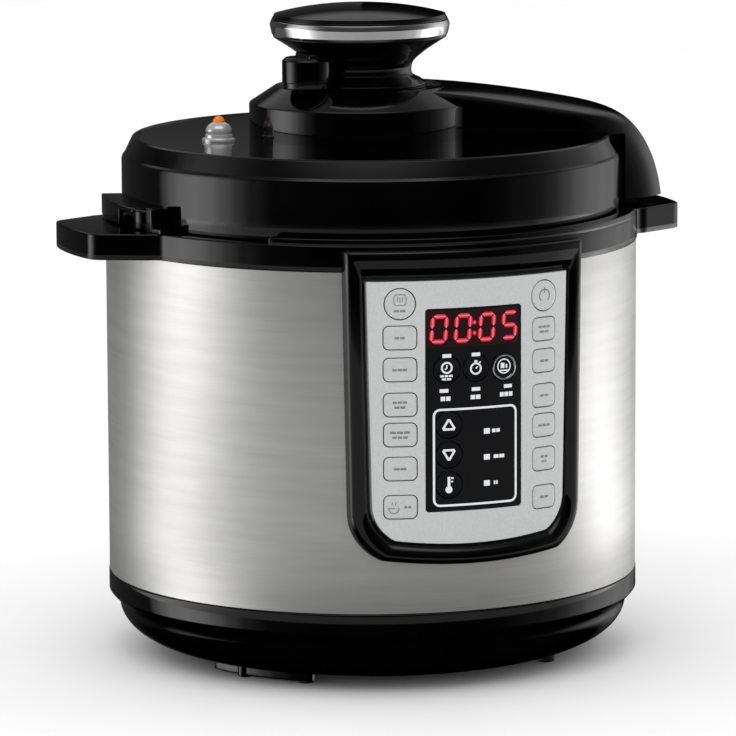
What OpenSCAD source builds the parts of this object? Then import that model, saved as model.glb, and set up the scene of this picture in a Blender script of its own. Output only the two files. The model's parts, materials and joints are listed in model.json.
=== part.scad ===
// Electric pressure cooker, six-litre class. Millimetres, +Z up.
// The origin is on the standing surface, on the axis of the round body.
// The control panel faces -Y and the lid arm points to +X.
// Angles named *_az are measured about Z from the front (-Y) towards +X.

/* [Body] */
// Outer radius of the brushed steel sleeve
body_r = 145; // [143:0.5:146]
// Sheet thickness of the sleeve
sleeve_t = 0.8; // [0.6:0.1:1]
// Height of the sleeve's lower edge
sleeve_low = 46; // [44:1:48]
// Height of the sleeve's upper edge
sleeve_top = 227; // [225:1:228]
// Radius at which the bottom bowl meets the bottom cover
bowl_in_r = 98; // [96:1:100]
// Wall of the plastic mouldings
wall = 2.5; // [2:0.1:3]

/* [Collar] */
// Height of the collar's top face
collar_top = 241; // [240:0.5:242]
// Height of the raised front part of the collar
raised_top = 244.5; // [243.5:0.5:245]
// Half width of a side handle
handle_half = 45; // [40:1:48]
// Distance from the axis to a handle's tip
handle_tip = 174.5; // [170:0.5:178]

/* [Pot] */
// Inner radius of the cooking pot
pot_r = 110; // [108:0.5:110]
// Height of the pot's underside
pot_low = 72; // [72:0.5:74]
// Height of the pot's rim
pot_rim = 231; // [230.5:0.5:231]
// Number of bayonet lugs round the lid
lug_count = 6; // [6]

/* [Lid] */
// Radius of the lid's upright wall
lid_r = 136; // [135:0.5:136]
// Height of the top of the upright wall
lid_wall_top = 273; // [271:1:275]
// Height of the lid's flat top
lid_top = 284; // [283:0.5:285]
// Radius of the flat top
lid_top_r = 129.5; // [127:0.5:131]
// Radius of the round boss in the middle of the lid
boss_r = 60.5; // [58:0.5:62]
// Offset of the boss and the knob from the body's axis
boss_x = -6; // [-8:0.5:-4]
// Half width of the lid arm
arm_half = 43; // [40:1:44]

/* [Knob] */
// Largest radius of the knob, at its metal ring
knob_r = 49; // [47:0.5:50]
// Height of the lid knob's underside edge
knob_low = 338; // [337:0.5:339]
// Height of the top of the knob
knob_top = 355.3; // [354:0.1:357]

/* [Panel] */
// Outer radius of the control panel's frame
frame_r = 151.5; // [150.5:0.5:152]
// Radius of the faceplate's outer surface
plate_r = 149; // [148.5:0.1:149]
// Travel of a key
key_travel = 0.5; // [0.3:0.1:0.5]
// Clearance round a key
key_gap = 0.35; // [0.3:0.05:0.4]

/* [Hidden] */
$fn = 96;

black = [0.06, 0.06, 0.065];
steel = [0.72, 0.72, 0.72];
metal = [0.8, 0.8, 0.82];
board_green = [0.1, 0.35, 0.2];
eps = 0.01;
far = 400;

// Bottom bowl
band_r = body_r + 0.3;
band_low = 36;
bowl_top_r = 139.5;
bowl_top = 28;
bowl_low = 4;
bowl_wall = 3;
foot_r = 4.7;
foot_h = 6;
foot_ring_r = 106.5;
foot_az = [-41, 41, 139, -139];
ledge_z = 7;
ledge_r = 90;
post_ring_r = 88;

// Pots
pot_wall = 1.5;
pot_rim_r = 117;
pot_corner = 12;
outer_in_r = 116;
outer_wall = 2;
outer_low = 54;
outer_up_r = 124;
outer_top = 240;
tooth_in_r = 118;
tooth_z = 236;
lug_width = 24;
lug_z = [231.5, 235];
lug_r = 123;
plate_top = 71.7;

// Lid
lid_low = 241.5;
lid_wall = 2.5;
boss_top_low = 302;
boss_top = 311;
boss_top_r = 46;
valve_az = -64;
valve_dist = 44.5;
valve_pos = [boss_x + valve_dist * sin(valve_az + 3.1), -valve_dist * cos(valve_az + 3.1)];
float_pos = [-86, 5];
neck_r = 28;
lid_post_r = 104;
screw_r = 1.5;
screw_head_r = 3.2;

// Panel and its keys: angle from the front and height of each centre
frame_z = [72, 239];
plate_z = [83, 222.7];
window_z = [100.4, 208.1];
window_half = 27.2;
switch_r = 142.4;
key_back_r = switch_r + 0.5 + key_travel;
left_key_az = -15.6;
right_key_az = 16.2;
key_rows = [211, 193.2, 176.4, 157.9, 142, 124, 103.7];
top_key_r = 8.2;
left_key_w = 17.6;
right_key_w = 15;
key_h = 12.4;
round_key_r = 7.2;
round_keys = [[-6, 175.8], [0.2, 175.8], [6.5, 175.2], [-5.6, 146.4], [-5.6, 130.5], [-5.6, 114.6]];

// Rear fittings
rear_r = 151.5;
inlet_z = 43;
cup_z = [160, 218];
cup_half = 22.5;

// ---------- shared shapes ----------

// Point on a circle of radius r, angle a from +X
function on_circle(r, a) = [r * cos(a), r * sin(a)];

// Points of an arc in a plane, n steps
function arc(c, r, a0, a1, n = 8) = [for (i = [0:n]) c + on_circle(r, a0 + (a1 - a0) * i / n)];

// Cubic curve through two end points
function cubic(p, t) =
    p[0] * pow(1 - t, 3) + 3 * p[1] * t * pow(1 - t, 2) + 3 * p[2] * t * t * (1 - t) + p[3] * t * t * t;

// Tube between two radii and two heights
module tube(r0, r1, z0, z1) {
    translate([0, 0, z0]) difference() {
        cylinder(r = r1, h = z1 - z0);
        translate([0, 0, -1]) cylinder(r = r0, h = z1 - z0 + 2);
    }
}

// Part of a tube between two angles from the front
module arc_block(r0, r1, z0, z1, az0, az1) {
    rotate([0, 0, az0 - 90])
        rotate_extrude(angle = az1 - az0) translate([r0, z0]) square([r1 - r0, z1 - z0]);
}

// Moves children from the axis to a place at radius r and angle az from the front
module at(az, r, z = 0) {
    rotate([0, 0, az]) translate([0, -r, z]) children();
}

// Rectangle with round corners, centred
module round_rect(w, h, r) {
    square([w - 2 * r, h], center = true);
    square([w, h - 2 * r], center = true);
    for (x = [-1, 1], y = [-1, 1])
        translate([x * (w / 2 - r), y * (h / 2 - r)]) circle(r = r, $fn = 48);
}

// Pushes a 2-D outline (x across, y up) through the front wall of the body
module through_front(depth = 200) {
    rotate([90, 0, 0]) linear_extrude(height = depth) children();
}

// Box given by its low and high corners
module block(low, high) {
    translate(low) cube(high - low);
}

// ---------- base ----------

// Outer profile of the bottom bowl, inset by t
function bowl(t) = [for (i = [0:12])
    [bowl_in_r + (bowl_top_r - bowl_in_r - t) * sin(i * 7.5),
     bowl_top - (bowl_top - bowl_low - t) * cos(i * 7.5)]];

module rear_inlet_space(grow) {
    block([-17 - grow, 110, inlet_z - 13 - grow], [17 + grow, 150, inlet_z + 13 + grow]);
}

module base_shell() {
    color(black) difference() {
        union() {
            rotate_extrude() polygon(concat(
                bowl(0),
                [[141, 30], [144, 33], [band_r, band_low], [band_r, sleeve_low - 1]],
                [[body_r, sleeve_low], [body_r - 3, sleeve_low], [body_r - 3, 37], [138, 30]],
                [for (i = [12:-1:2]) bowl(bowl_wall)[i]],
                [[bowl_in_r + 2, ledge_z + wall], [ledge_r, ledge_z + wall], [ledge_r, ledge_z],
                    [bowl_in_r, ledge_z]]));
            for (k = [0:3])
                at(k * 90 + 45, post_ring_r + 5, ledge_z) cylinder(r = 5, h = outer_low - ledge_z);
            arc_block(107.5, 112.5, 1.5, 7.5, -71, -38);
            at(-60, 110) translate([0, 0, 0.5]) cylinder(r = 4, h = 7);
        }
        for (a = foot_az)
            at(a, foot_ring_r) translate([0, 0, -1]) cylinder(r = foot_r, h = foot_h + 1);
        rear_inlet_space(0.2);
    }
}

module bottom_cover() {
    color(black) difference() {
        translate([0, 0, bowl_low]) cylinder(r = bowl_in_r - 0.3, h = ledge_z - bowl_low);
        for (a = [0:15:345], r = [34, 58])
            rotate([0, 0, a]) translate([r - 8, -1.6, 0]) cube([16, 3.2, 12]);
        for (k = [0:3])
            at(k * 90 + 45, post_ring_r + 5) cylinder(r = 1.8, h = 20, $fn = 32);
    }
}

module rubber_feet() {
    color([0.12, 0.12, 0.12])
        for (a = foot_az)
            at(a, foot_ring_r) cylinder(r = foot_r, h = foot_h);
}

module base_screws() {
    color(metal)
        for (k = [0:3])
            at(k * 90 + 45, post_ring_r + 5) {
                translate([0, 0, bowl_low - 1.6]) cylinder(r = screw_head_r, h = 1.6, $fn = 32);
                translate([0, 0, bowl_low]) cylinder(r = screw_r, h = ledge_z - bowl_low, $fn = 32);
            }
}

module steel_sleeve() {
    color(steel) difference() {
        tube(body_r - sleeve_t, body_r, sleeve_low, sleeve_top);
        block([-52, -160, 84], [52, -100, 222]);
        rear_inlet_space(0.2);
        block([-24.5, 100, 158], [24.5, 160, 222]);
    }
}

// Outline of one side handle in plan, on the +X side, t smaller all round
module handle_plan(t) {
    side = handle_half - t;
    tip_r = 142;
    corner = [162.2, 24.5];
    front = concat([[120, 0], [120, side], [144 - 0.24 * t, side]],
        arc(corner, 10 - t, 63, 10.7, 6), [[178, 27.6], [178, 0]]);
    back = [for (p = front) [p[0], -p[1]]];
    intersection() {
        translate([handle_tip - tip_r, 0]) circle(r = tip_r - t);
        union() {
            polygon(front);
            polygon(back);
        }
    }
}

// Concave blend between a handle's side and the round collar
module handle_blend() {
    f = 8;
    ring = body_r + 0.5;
    cy = handle_half + f - 0.05;
    cx = sqrt(pow(ring + f - 0.05, 2) - cy * cy);
    touch = [cx, cy] * ring / (ring + f);
    difference() {
        polygon([[cx, cy - f - 3], [cx, cy], touch, [touch[0] - 8, touch[1] - 14]]);
        translate([cx, cy]) circle(r = f);
    }
}

// Collar and its two handles in plan
module collar_plan() {
    circle(r = body_r + 0.5);
    for (side = [0, 1], way = [0, 1])
        mirror([side, 0]) mirror([0, way]) {
            handle_plan(0);
            handle_blend();
        }
}

module collar() {
    color(black) difference() {
        union() {
            translate([0, 0, sleeve_top]) linear_extrude(height = collar_top - sleeve_top) collar_plan();
            arc_block(138, body_r + 0.3, collar_top - 1, raised_top, -43, 62);
        }
        translate([0, 0, sleeve_top - 1]) difference() {
            cylinder(r = body_r - 2, h = collar_top - sleeve_top - wall + 1);
            cylinder(r = 129.5, h = far);
        }
        cylinder(r = 127, h = far);
        cylinder(r = 130, h = 232);
        for (side = [0, 1])
            mirror([side, 0, 0]) difference() {
                translate([0, 0, sleeve_top - 1])
                    linear_extrude(height = collar_top - wall - sleeve_top) handle_plan(3);
                cylinder(r = body_r + 0.5, h = far);
            }
        block([-24.5, 140, 200], [24.5, 160, 222]);
    }
}

module lid_stop() {
    color(black) {
        arc_block(139, 147, collar_top, 254, -76, -73.5);
        arc_block(139.4, 146.6, collar_top, 243.6, -74.3, -70.6);
    }
}

module outer_pot() {
    color(metal) {
        rotate_extrude() polygon([
            [30, outer_low], [outer_in_r + outer_wall, outer_low],
            [outer_in_r + outer_wall, 222], [outer_up_r + outer_wall, 222],
            [outer_up_r + outer_wall, 229.5], [136, 229.5], [136, 231.5],
            [outer_up_r + outer_wall, 231.5], [outer_up_r + outer_wall, outer_top],
            [outer_up_r, outer_top], [outer_up_r, 224], [outer_in_r, 224],
            [outer_in_r, outer_low + outer_wall], [30, outer_low + outer_wall]]);
        for (k = [0:lug_count - 1])
            arc_block(tooth_in_r, outer_up_r + 1, tooth_z, outer_top,
                k * 360 / lug_count - lug_width / 2, k * 360 / lug_count + lug_width / 2);
    }
}

module heat_shield() {
    color(metal) difference() {
        tube(121.4, 122, 58, 220);
        block([-20, 100, 150], [20, 130, 156]);
    }
}

module heating_plate() {
    color(metal) difference() {
        union() {
            translate([0, 0, 62]) cylinder(r = 92, h = plate_top - 62);
            tube(60, 72, outer_low + outer_wall, 62);
        }
        translate([0, 0, 40]) cylinder(r = 15, h = 60);
        tube(78, 79.5, 70.9, 72);
    }
}

module temperature_probe() {
    color(metal) {
        translate([0, 0, 64]) cylinder(r = 12, h = plate_top - 64);
        translate([0, 0, 50]) cylinder(r = 4, h = 14);
        translate([0, 0, 63]) cylinder(r = 13.5, h = 1);
    }
}

// Spring that pushes the probe up, a stack of open rings round its stem
module probe_spring() {
    color(metal)
        for (k = [0:4])
            tube(5.2, 7, 52.4 + k * 2.1, 53.4 + k * 2.1);
}

// Switch under the middle of the heating plate, with the bracket that holds it and the spring
module pressure_switch() {
    color([0.85, 0.82, 0.7]) {
        translate([46, -8, 40]) cube([22, 16, outer_low - 40]);
        translate([50, -1.5, 34]) cube([1, 3, 6]);
        translate([62, -1.5, 34]) cube([1, 3, 6]);
    }
    color(metal) {
        tube(5.2, 26, 50.4, 52.4);
        tube(24, 34, 52.4, outer_low);
    }
}

module power_board() {
    color(board_green) difference() {
        translate([-62, -46, 20]) cube([100, 92, 1.6]);
        for (x = [-57, 33], y = [-41, 41])
            translate([x, y, 10]) cylinder(r = 1.6, h = 20, $fn = 32);
    }
    color(black)
        for (x = [-57, 33], y = [-41, 41])
            translate([x, y, ledge_z]) cylinder(r = 3.5, h = 13, $fn = 32);
}

module board_parts() {
    z = 21.6;
    color([0.15, 0.15, 0.17]) translate([-50, -30, z]) cube([20, 16, 16]);
    color([0.9, 0.85, 0.2]) translate([-50, 8, z]) cube([26, 22, 20]);
    color([0.1, 0.2, 0.5]) for (y = [-30, -8]) translate([0, y, z]) cylinder(r = 6, h = 20);
    color([0.8, 0.3, 0.1]) translate([-18, 18, z]) cube([16, 7, 12]);
    color(metal) translate([15, 10, z]) cube([3, 26, 18]);
}

// ---------- rear fittings ----------

module inlet_housing() {
    color(black) difference() {
        union() {
            intersection() {
                difference() {
                    cylinder(r = rear_r, h = far);
                    cylinder(r = band_r + eps, h = far);
                }
                block([-26, 100, inlet_z - 17], [26, 200, inlet_z + 18]);
            }
            block([-17, 124, inlet_z - 13], [17, 147.5, inlet_z + 13]);
        }
        inlet_mouth();
        translate([0, 0, inlet_z]) rotate([-90, 0, 0])
            for (p = inlet_pin_places())
                translate([p[0], -p[1], 120])
                    linear_extrude(height = 20) square([2, 4], center = true);
    }
}

// Appliance inlet recess with its two cut corners
module inlet_mouth() {
    translate([0, 130, inlet_z]) rotate([-90, 0, 0]) linear_extrude(height = 40)
        polygon([[-12.3, -8.3 + 4], [-8.3, -8.3], [8.3, -8.3], [12.3, -8.3 + 4], [12.3, 8.3], [-12.3, 8.3]]);
}

function inlet_pin_places() = [[-7, -2], [7, -2], [0, 2]];

module inlet_pins() {
    color([0.85, 0.75, 0.45])
        for (p = inlet_pin_places())
            translate([p[0] - 1, 118, inlet_z + p[1] - 2]) cube([2, 28, 4]);
}

module cup_pocket() {
    color(black) difference() {
        block([-cup_half - 1.8, 126, cup_z[0] - 1.8], [cup_half + 1.8, 143, cup_z[1] + 1.8]);
        block([-cup_half - 0.3, 127.5, cup_z[0] - 0.3], [cup_half + 0.3, 170, cup_z[1] + 0.3]);
    }
}

module condensate_cup() {
    color([0.25, 0.25, 0.27]) difference() {
        intersection() {
            union() {
                block([-cup_half, 128, cup_z[0]], [cup_half, 147, cup_z[1]]);
                block([-cup_half - 3, 145.5, cup_z[0] - 3], [cup_half + 3, 160, cup_z[1] + 3]);
            }
            cylinder(r = rear_r, h = far);
        }
        block([-cup_half + 1.6, 129.6, cup_z[0] + 1.6], [cup_half - 1.6, 147, cup_z[1] + 5]);
    }
}

// ---------- control panel ----------

// Outline seen from the front: straight top, slightly bowed foot, big lower corners
module panel_outline(half_top, half_low, z, corner) {
    bow_r = 6 * half_low;
    intersection() {
        translate([0, z[0] + bow_r]) circle(r = bow_r);
        polygon(concat(
            [[-half_top, z[1]]],
            arc([-half_low + corner, z[0] + corner], corner, 176, 270),
            arc([half_low - corner, z[0] + corner], corner, 270, 364),
            [[half_top, z[1]]]));
    }
}

// Shell of the panel between two radii, cut to an outline
module panel_shell(r0, r1) {
    intersection() {
        tube(r0, r1, frame_z[0] - 5, frame_z[1] + 5);
        through_front() children();
    }
}

module panel_frame() {
    color(black) difference() {
        panel_shell(body_r + 0.6, frame_r) panel_outline(67, 65, frame_z, 28);
        panel_shell(body_r - 5, plate_r + 0.4) panel_outline(56.9, 54.6, plate_z - [0.4, -0.4], 22);
        panel_shell(plate_r + 0.3, far) panel_outline(60.5, 58.5, plate_z - [4.5, -9], 25);
    }
}

module key_cut(az, z, w, h, r, g) {
    rotate([0, 0, az]) rotate([90, 0, 0]) linear_extrude(height = 200)
        translate([0, z]) round_rect(w + 2 * g, h + 2 * g, r + g);
}

module round_cut(k, g) {
    rotate([0, 0, round_keys[k][0]]) translate([0, 0, round_keys[k][1]])
        rotate([90, 0, 0]) cylinder(r = round_key_r + g, h = 200);
}

module side_key_cut(left, row, g) {
    az = left ? left_key_az : right_key_az;
    if (row == 0) {
        rotate([0, 0, az])
            translate([0, 0, key_rows[0]])
                rotate([90, 0, 0]) cylinder(r = top_key_r + g, h = 200);
    } else {
        key_cut(az, key_rows[row], left ? left_key_w : right_key_w, key_h, 3, g);
    }
}

module faceplate() {
    color([0.78, 0.79, 0.8]) difference() {
        panel_shell(plate_r - 2, plate_r) panel_outline(56.5, 54.2, plate_z, 22);
        through_front() translate([0, (window_z[0] + window_z[1]) / 2])
            round_rect(2 * window_half, window_z[1] - window_z[0], 2);
        for (left = [true, false], row = [0:6])
            side_key_cut(left, row, key_gap);
    }
}

module display_window() {
    color([0.02, 0.02, 0.03]) difference() {
        panel_shell(plate_r - 2.4, plate_r - 0.3) translate([0, (window_z[0] + window_z[1]) / 2])
            round_rect(2 * window_half - 0.2, window_z[1] - window_z[0] - 0.2, 1.9);
        for (k = [0:5])
            round_cut(k, key_gap);
    }
}

module display_module() {
    color([0.15, 0.15, 0.15]) block([-25, -142.8, 186.5], [25, -139.6, 207]);
}

// Three boards that follow the curve of the panel
module control_boards() {
    color(board_green) {
        block([-19, -139.6, 90], [19, -138, 214]);
        at(left_key_az - 1, 138.8) translate([-12, -0.8, 92]) cube([23.2, 1.6, 126]);
        at(right_key_az + 1, 138.8) translate([-11.2, -0.8, 92]) cube([23.2, 1.6, 126]);
    }
}

module key_switches() {
    color([0.2, 0.2, 0.2]) {
        for (left = [true, false], row = [0:6])
            at(left ? left_key_az - 1 : right_key_az + 1, switch_r)
                translate([left ? -0.5 : -5.5, 0, key_rows[row] - 3]) cube([6, 2.8, 6]);
        for (k = round_keys)
            translate([139.6 * sin(k[0]) - 3, -141.4, k[1] - 3]) cube([6, 1.8, 6]);
    }
}

// Body of a key: cap through the plate, wider flange behind it and a stem to its switch
module key_body(cap_r) {
    intersection() {
        tube(145.2, cap_r, 60, far);
        children();
    }
}

module side_key(left, row) {
    color([0.8, 0.81, 0.82]) {
        key_body(plate_r + 0.7) side_key_cut(left, row, 0);
        intersection() {
            tube(key_back_r, 145.2 + eps, 60, far);
            key_cut(left ? left_key_az : right_key_az, key_rows[row], 8, 8, 2, 0);
        }
    }
}

module window_key(k) {
    color([0.03, 0.03, 0.04]) {
        key_body(plate_r + 0.1) round_cut(k, 0);
        intersection() {
            tube(key_back_r, 145.2 + eps, 60, far);
            rotate([0, 0, round_keys[k][0]]) translate([0, 0, round_keys[k][1]])
                rotate([90, 0, 0]) cylinder(r = 3, h = 200);
        }
    }
}

// ---------- pot ----------

module inner_pot() {
    color(metal) rotate_extrude() polygon(concat(
        [[0, pot_low]],
        arc([pot_r + pot_wall - pot_corner, pot_low + pot_corner], pot_corner, -90, 0),
        [[pot_r + pot_wall, pot_rim - 1.5], [pot_rim_r, pot_rim - 1.5]],
        [[pot_rim_r, pot_rim], [pot_r, pot_rim]],
        arc([pot_r + pot_wall - pot_corner, pot_low + pot_corner], pot_corner - pot_wall, 0, -90),
        [[0, pot_low + pot_wall]]));
}

// ---------- lid ----------

module lid_gasket() {
    color([0.85, 0.85, 0.82]) rotate_extrude()
        polygon([[108, 231.3], [115.2, 231.3], [115.2, 237.7], [108.5, 237.7], [108.5, 236],
            [112.5, 234.6], [108, 232.6]]);
}

// Holes in the lid's plates for the two valves
module valve_holes(steam_r, float_r) {
    translate(valve_pos) cylinder(r = steam_r, h = far);
    translate(float_pos) cylinder(r = float_r, h = far);
}

module lid_inner() {
    color(metal) difference() {
        union() {
            translate([0, 0, 238]) cylinder(r = 117, h = 1.5);
            tube(115.5, 117, lug_z[0], 238 + eps);
            for (k = [0:lug_count - 1])
                arc_block(116.5, lug_r, lug_z[0], lug_z[1],
                    k * 360 / lug_count - lug_width / 2, k * 360 / lug_count + lug_width / 2);
        }
        valve_holes(5.1, 3.6);
        for (k = [0:3])
            at(k * 90 + 45, lid_post_r) cylinder(r = screw_r + 0.2, h = far, $fn = 32);
    }
}

module lid_underplate() {
    color(black) difference() {
        union() {
            tube(98, 133.2, lid_low, lid_low + 2);
            tube(98, 110, 239.5, lid_low + 1);
        }
        for (k = [0:3])
            at(k * 90 + 45, lid_post_r) cylinder(r = screw_r + 0.2, h = far, $fn = 32);
    }
}

// Solid under the lid's skin, inset by t
module lid_form(t) {
    rotate_extrude() polygon([
        [0, 200], [lid_r - t, 200], [lid_r - t, lid_low + 3], [lid_r - 0.6 - t, lid_wall_top - 1.5],
        [lid_r - 1.6 - t, lid_wall_top + 1 - t * 0.4], [lid_top_r + 0.6 - t, lid_top - 0.5 - t * 0.9],
        [lid_top_r - 0.6 - t, lid_top - t], [0, lid_top - t]]);
}

module lid_shell() {
    color(black) {
        difference() {
            lid_form(0);
            lid_form(lid_wall);
            cylinder(r = far, h = lid_low);
            valve_holes(6, 9.3);
            translate([0, 0, lid_top - 0.6]) cylinder(r = lid_top_r - 3, h = 5);
        }
        lid_lug();
        for (k = [0:3])
            at(k * 90 + 45, lid_post_r) tube(screw_r + 0.2, 4.5, lid_low + 2, lid_top - lid_wall);
    }
}

// Ear on the lid's left side that lies over the handle and meets the stop
module lid_lug() {
    low = lid_low + 0.3;
    difference() {
        union() {
            arc_block(lid_r - 1.5, 147, 249.5, 252.5, -109, -81);
            arc_block(144.5, 147, low, 252.5, -109, -88);
            arc_block(lid_r - 1.5, 147, low, 252.5, -109, -107);
            at(-80, 139.5) translate([0, 0, low]) cylinder(r = 7.4, h = 252 - low);
        }
        cylinder(r = lid_r - 1.6, h = far);
    }
}

// Round boss with its bevelled shoulder, inset by t
module boss_form(t) {
    translate([boss_x, 0, 0]) rotate_extrude() polygon([
        [0, 200], [boss_r - t, 200], [boss_r - t, boss_top_low - t * 0.4],
        [boss_top_r + 0.8 - t * 0.4, boss_top - 0.3 - t],
        [boss_top_r - 0.8 - t * 0.4, boss_top - t], [0, boss_top - t]]);
}

// Arm from the boss over the lid's edge, inset by t
module arm_form(t) {
    arm_curve = [[40, 311.5 - t], [118, 308 - t], [157 - t, 302 - t], [164.5 - t, 245.5]];
    ridge_tilt = 10.6;
    crown_r = 120;
    intersection() {
        rotate_extrude() polygon(concat(
            [[0, 200], [0, 311.5 - t]],
            [for (i = [0:12]) cubic(arm_curve, i / 12)],
            [[164.5 - t, 200]]));
        block([0, -arm_half + t, 200], [200, arm_half - t, 320]);
        translate([60, 0, 311 - t]) rotate([0, 90 + ridge_tilt, 0])
            translate([crown_r, 0, -120]) cylinder(r = crown_r, h = 260, $fn = 180);
    }
}

module lid_cover() {
    color(black) difference() {
        union() {
            difference() {
                boss_form(0);
                boss_form(wall);
            }
            difference() {
                arm_form(0);
                arm_form(wall);
                boss_form(wall);
            }
        }
        lid_form(0);
        cylinder(r = far, h = 246);
        translate([boss_x, 0, boss_top - 0.8]) cylinder(r = boss_top_r - 2.5, h = 5);
        translate([valve_pos[0], valve_pos[1], 306.5]) cylinder(r = 14.6, h = 20);
        translate(valve_pos) cylinder(r = 6, h = far);
    }
}

module lid_screws() {
    color(metal)
        for (k = [0:3])
            at(k * 90 + 45, lid_post_r) {
                translate([0, 0, 236.2]) cylinder(r = screw_head_r, h = 1.8, $fn = 32);
                translate([0, 0, 238]) cylinder(r = screw_r, h = 16, $fn = 32);
            }
}

// ---------- knob ----------

module knob_base() {
    color(black) difference() {
        translate([boss_x, 0, 0]) rotate_extrude() polygon(concat(
            [[0, 310.2], [36, 310.2], [36, 312.4], [33, 314.6], [neck_r + 1, 316.4]],
            [[neck_r, 318.5], [neck_r + 0.2, 321.5], [neck_r + 1, 323.6], [neck_r + 2.6, 325.6]],
            [[neck_r + 5.6, 328.2], [neck_r + 9.4, 331.1], [neck_r + 14, 334.1]],
            [[knob_r - 2.4, 337], [knob_r - 1.2, knob_low], [0, knob_low]]));
        translate([valve_pos[0], valve_pos[1], 300]) cylinder(r = 14.6, h = 32);
    }
}

module knob_ring() {
    color(metal) translate([boss_x, 0, 0]) rotate_extrude()
        polygon([[44, knob_low], [knob_r - 0.8, knob_low], [knob_r, knob_low + 1.4], [knob_r, 344.5],
            [knob_r - 0.9, 346.8], [44, 346.8]]);
}

module knob_cap() {
    dome_r = 141;
    color(black) translate([boss_x, 0, 0]) rotate_extrude() {
        intersection() {
            translate([0, knob_top - dome_r]) circle(r = dome_r, $fn = 180);
            translate([0, 346.8]) square([knob_r - 1.1, 20]);
        }
        translate([0, knob_low]) square([43.9, 347 - knob_low]);
    }
}

// ---------- valves ----------

module steam_valve() {
    color(black) difference() {
        translate([valve_pos[0], valve_pos[1], 0]) union() {
            translate([0, 0, 312.4]) cylinder(r = 13, h = 4);
            translate([0, 0, 316]) cylinder(r = 13.5, h = 12);
            translate([0, 0, 327.8]) cylinder(r = 12.3, h = 1.6);
            translate([-3, -12, 329]) cube([6, 24, 2.4]);
        }
        translate([valve_pos[0], valve_pos[1], 300]) cylinder(r = 4.3, h = 18);
    }
}

module valve_stem() {
    color(metal) translate(valve_pos) {
        translate([0, 0, 228]) cylinder(r = 5, h = 10);
        translate([0, 0, 238]) cylinder(r = 5, h = 68);
        translate([0, 0, 306]) cylinder(r = 4.2, h = 11.6);
        translate([0, 0, 239.5]) cylinder(r = 8, h = 3, $fn = 6);
    }
}

module valve_filter() {
    color(metal) translate(valve_pos) difference() {
        translate([0, 0, 226]) cylinder(r = 9, h = 10);
        translate([0, 0, 227.2]) cylinder(r = 7.8, h = 7.6);
        translate([0, 0, 230]) cylinder(r = 5, h = 20);
        for (a = [0:45:135])
            rotate([0, 0, a]) translate([-12, -1, 228.4]) cube([24, 2, 4.6]);
    }
}

module float_seat() {
    color(metal) translate(float_pos) difference() {
        union() {
            translate([0, 0, 281]) cylinder(r = 9.2, h = 4);
            rotate_extrude() {
                translate([0, 284]) square([7.4, 4]);
                intersection() {
                    translate([0, 288]) circle(r = 7.4);
                    translate([0, 287.9]) square([8, 6]);
                }
            }
        }
        translate([0, 0, 270]) cylinder(r = 3.8, h = 40);
    }
}

module float_valve() {
    color([0.9, 0.3, 0.1]) translate(float_pos) rotate_extrude() {
        translate([0, 229]) square([5, 3]);
        translate([0, 231]) square([3.2, 62.5]);
        intersection() {
            translate([0, 293.5]) circle(r = 3.2);
            translate([0, 293]) square([4, 6]);
        }
    }
}

module key_left_1() { side_key(true, 0); }
module key_left_2() { side_key(true, 1); }
module key_left_3() { side_key(true, 2); }
module key_left_4() { side_key(true, 3); }
module key_left_5() { side_key(true, 4); }
module key_left_6() { side_key(true, 5); }
module key_left_7() { side_key(true, 6); }
module key_right_1() { side_key(false, 0); }
module key_right_2() { side_key(false, 1); }
module key_right_3() { side_key(false, 2); }
module key_right_4() { side_key(false, 3); }
module key_right_5() { side_key(false, 4); }
module key_right_6() { side_key(false, 5); }
module key_right_7() { side_key(false, 6); }
module key_delay() { window_key(0); }
module key_timer() { window_key(1); }
module key_light() { window_key(2); }
module key_up() { window_key(3); }
module key_down() { window_key(4); }
module key_heat() { window_key(5); }

base_shell();
bottom_cover();
rubber_feet();
base_screws();
steel_sleeve();
collar();
lid_stop();
outer_pot();
heat_shield();
heating_plate();
temperature_probe();
probe_spring();
pressure_switch();
power_board();
board_parts();
inlet_housing();
inlet_pins();
cup_pocket();
condensate_cup();
panel_frame();
faceplate();
display_window();
display_module();
control_boards();
key_switches();
inner_pot();
lid_gasket();
lid_inner();
lid_underplate();
lid_shell();
lid_cover();
lid_screws();
knob_base();
knob_ring();
knob_cap();
steam_valve();
valve_stem();
valve_filter();
float_seat();
float_valve();
key_left_1();
key_left_2();
key_left_3();
key_left_4();
key_left_5();
key_left_6();
key_left_7();
key_right_1();
key_right_2();
key_right_3();
key_right_4();
key_right_5();
key_right_6();
key_right_7();
key_delay();
key_timer();
key_light();
key_up();
key_down();
key_heat();
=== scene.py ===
import json
import math

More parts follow.
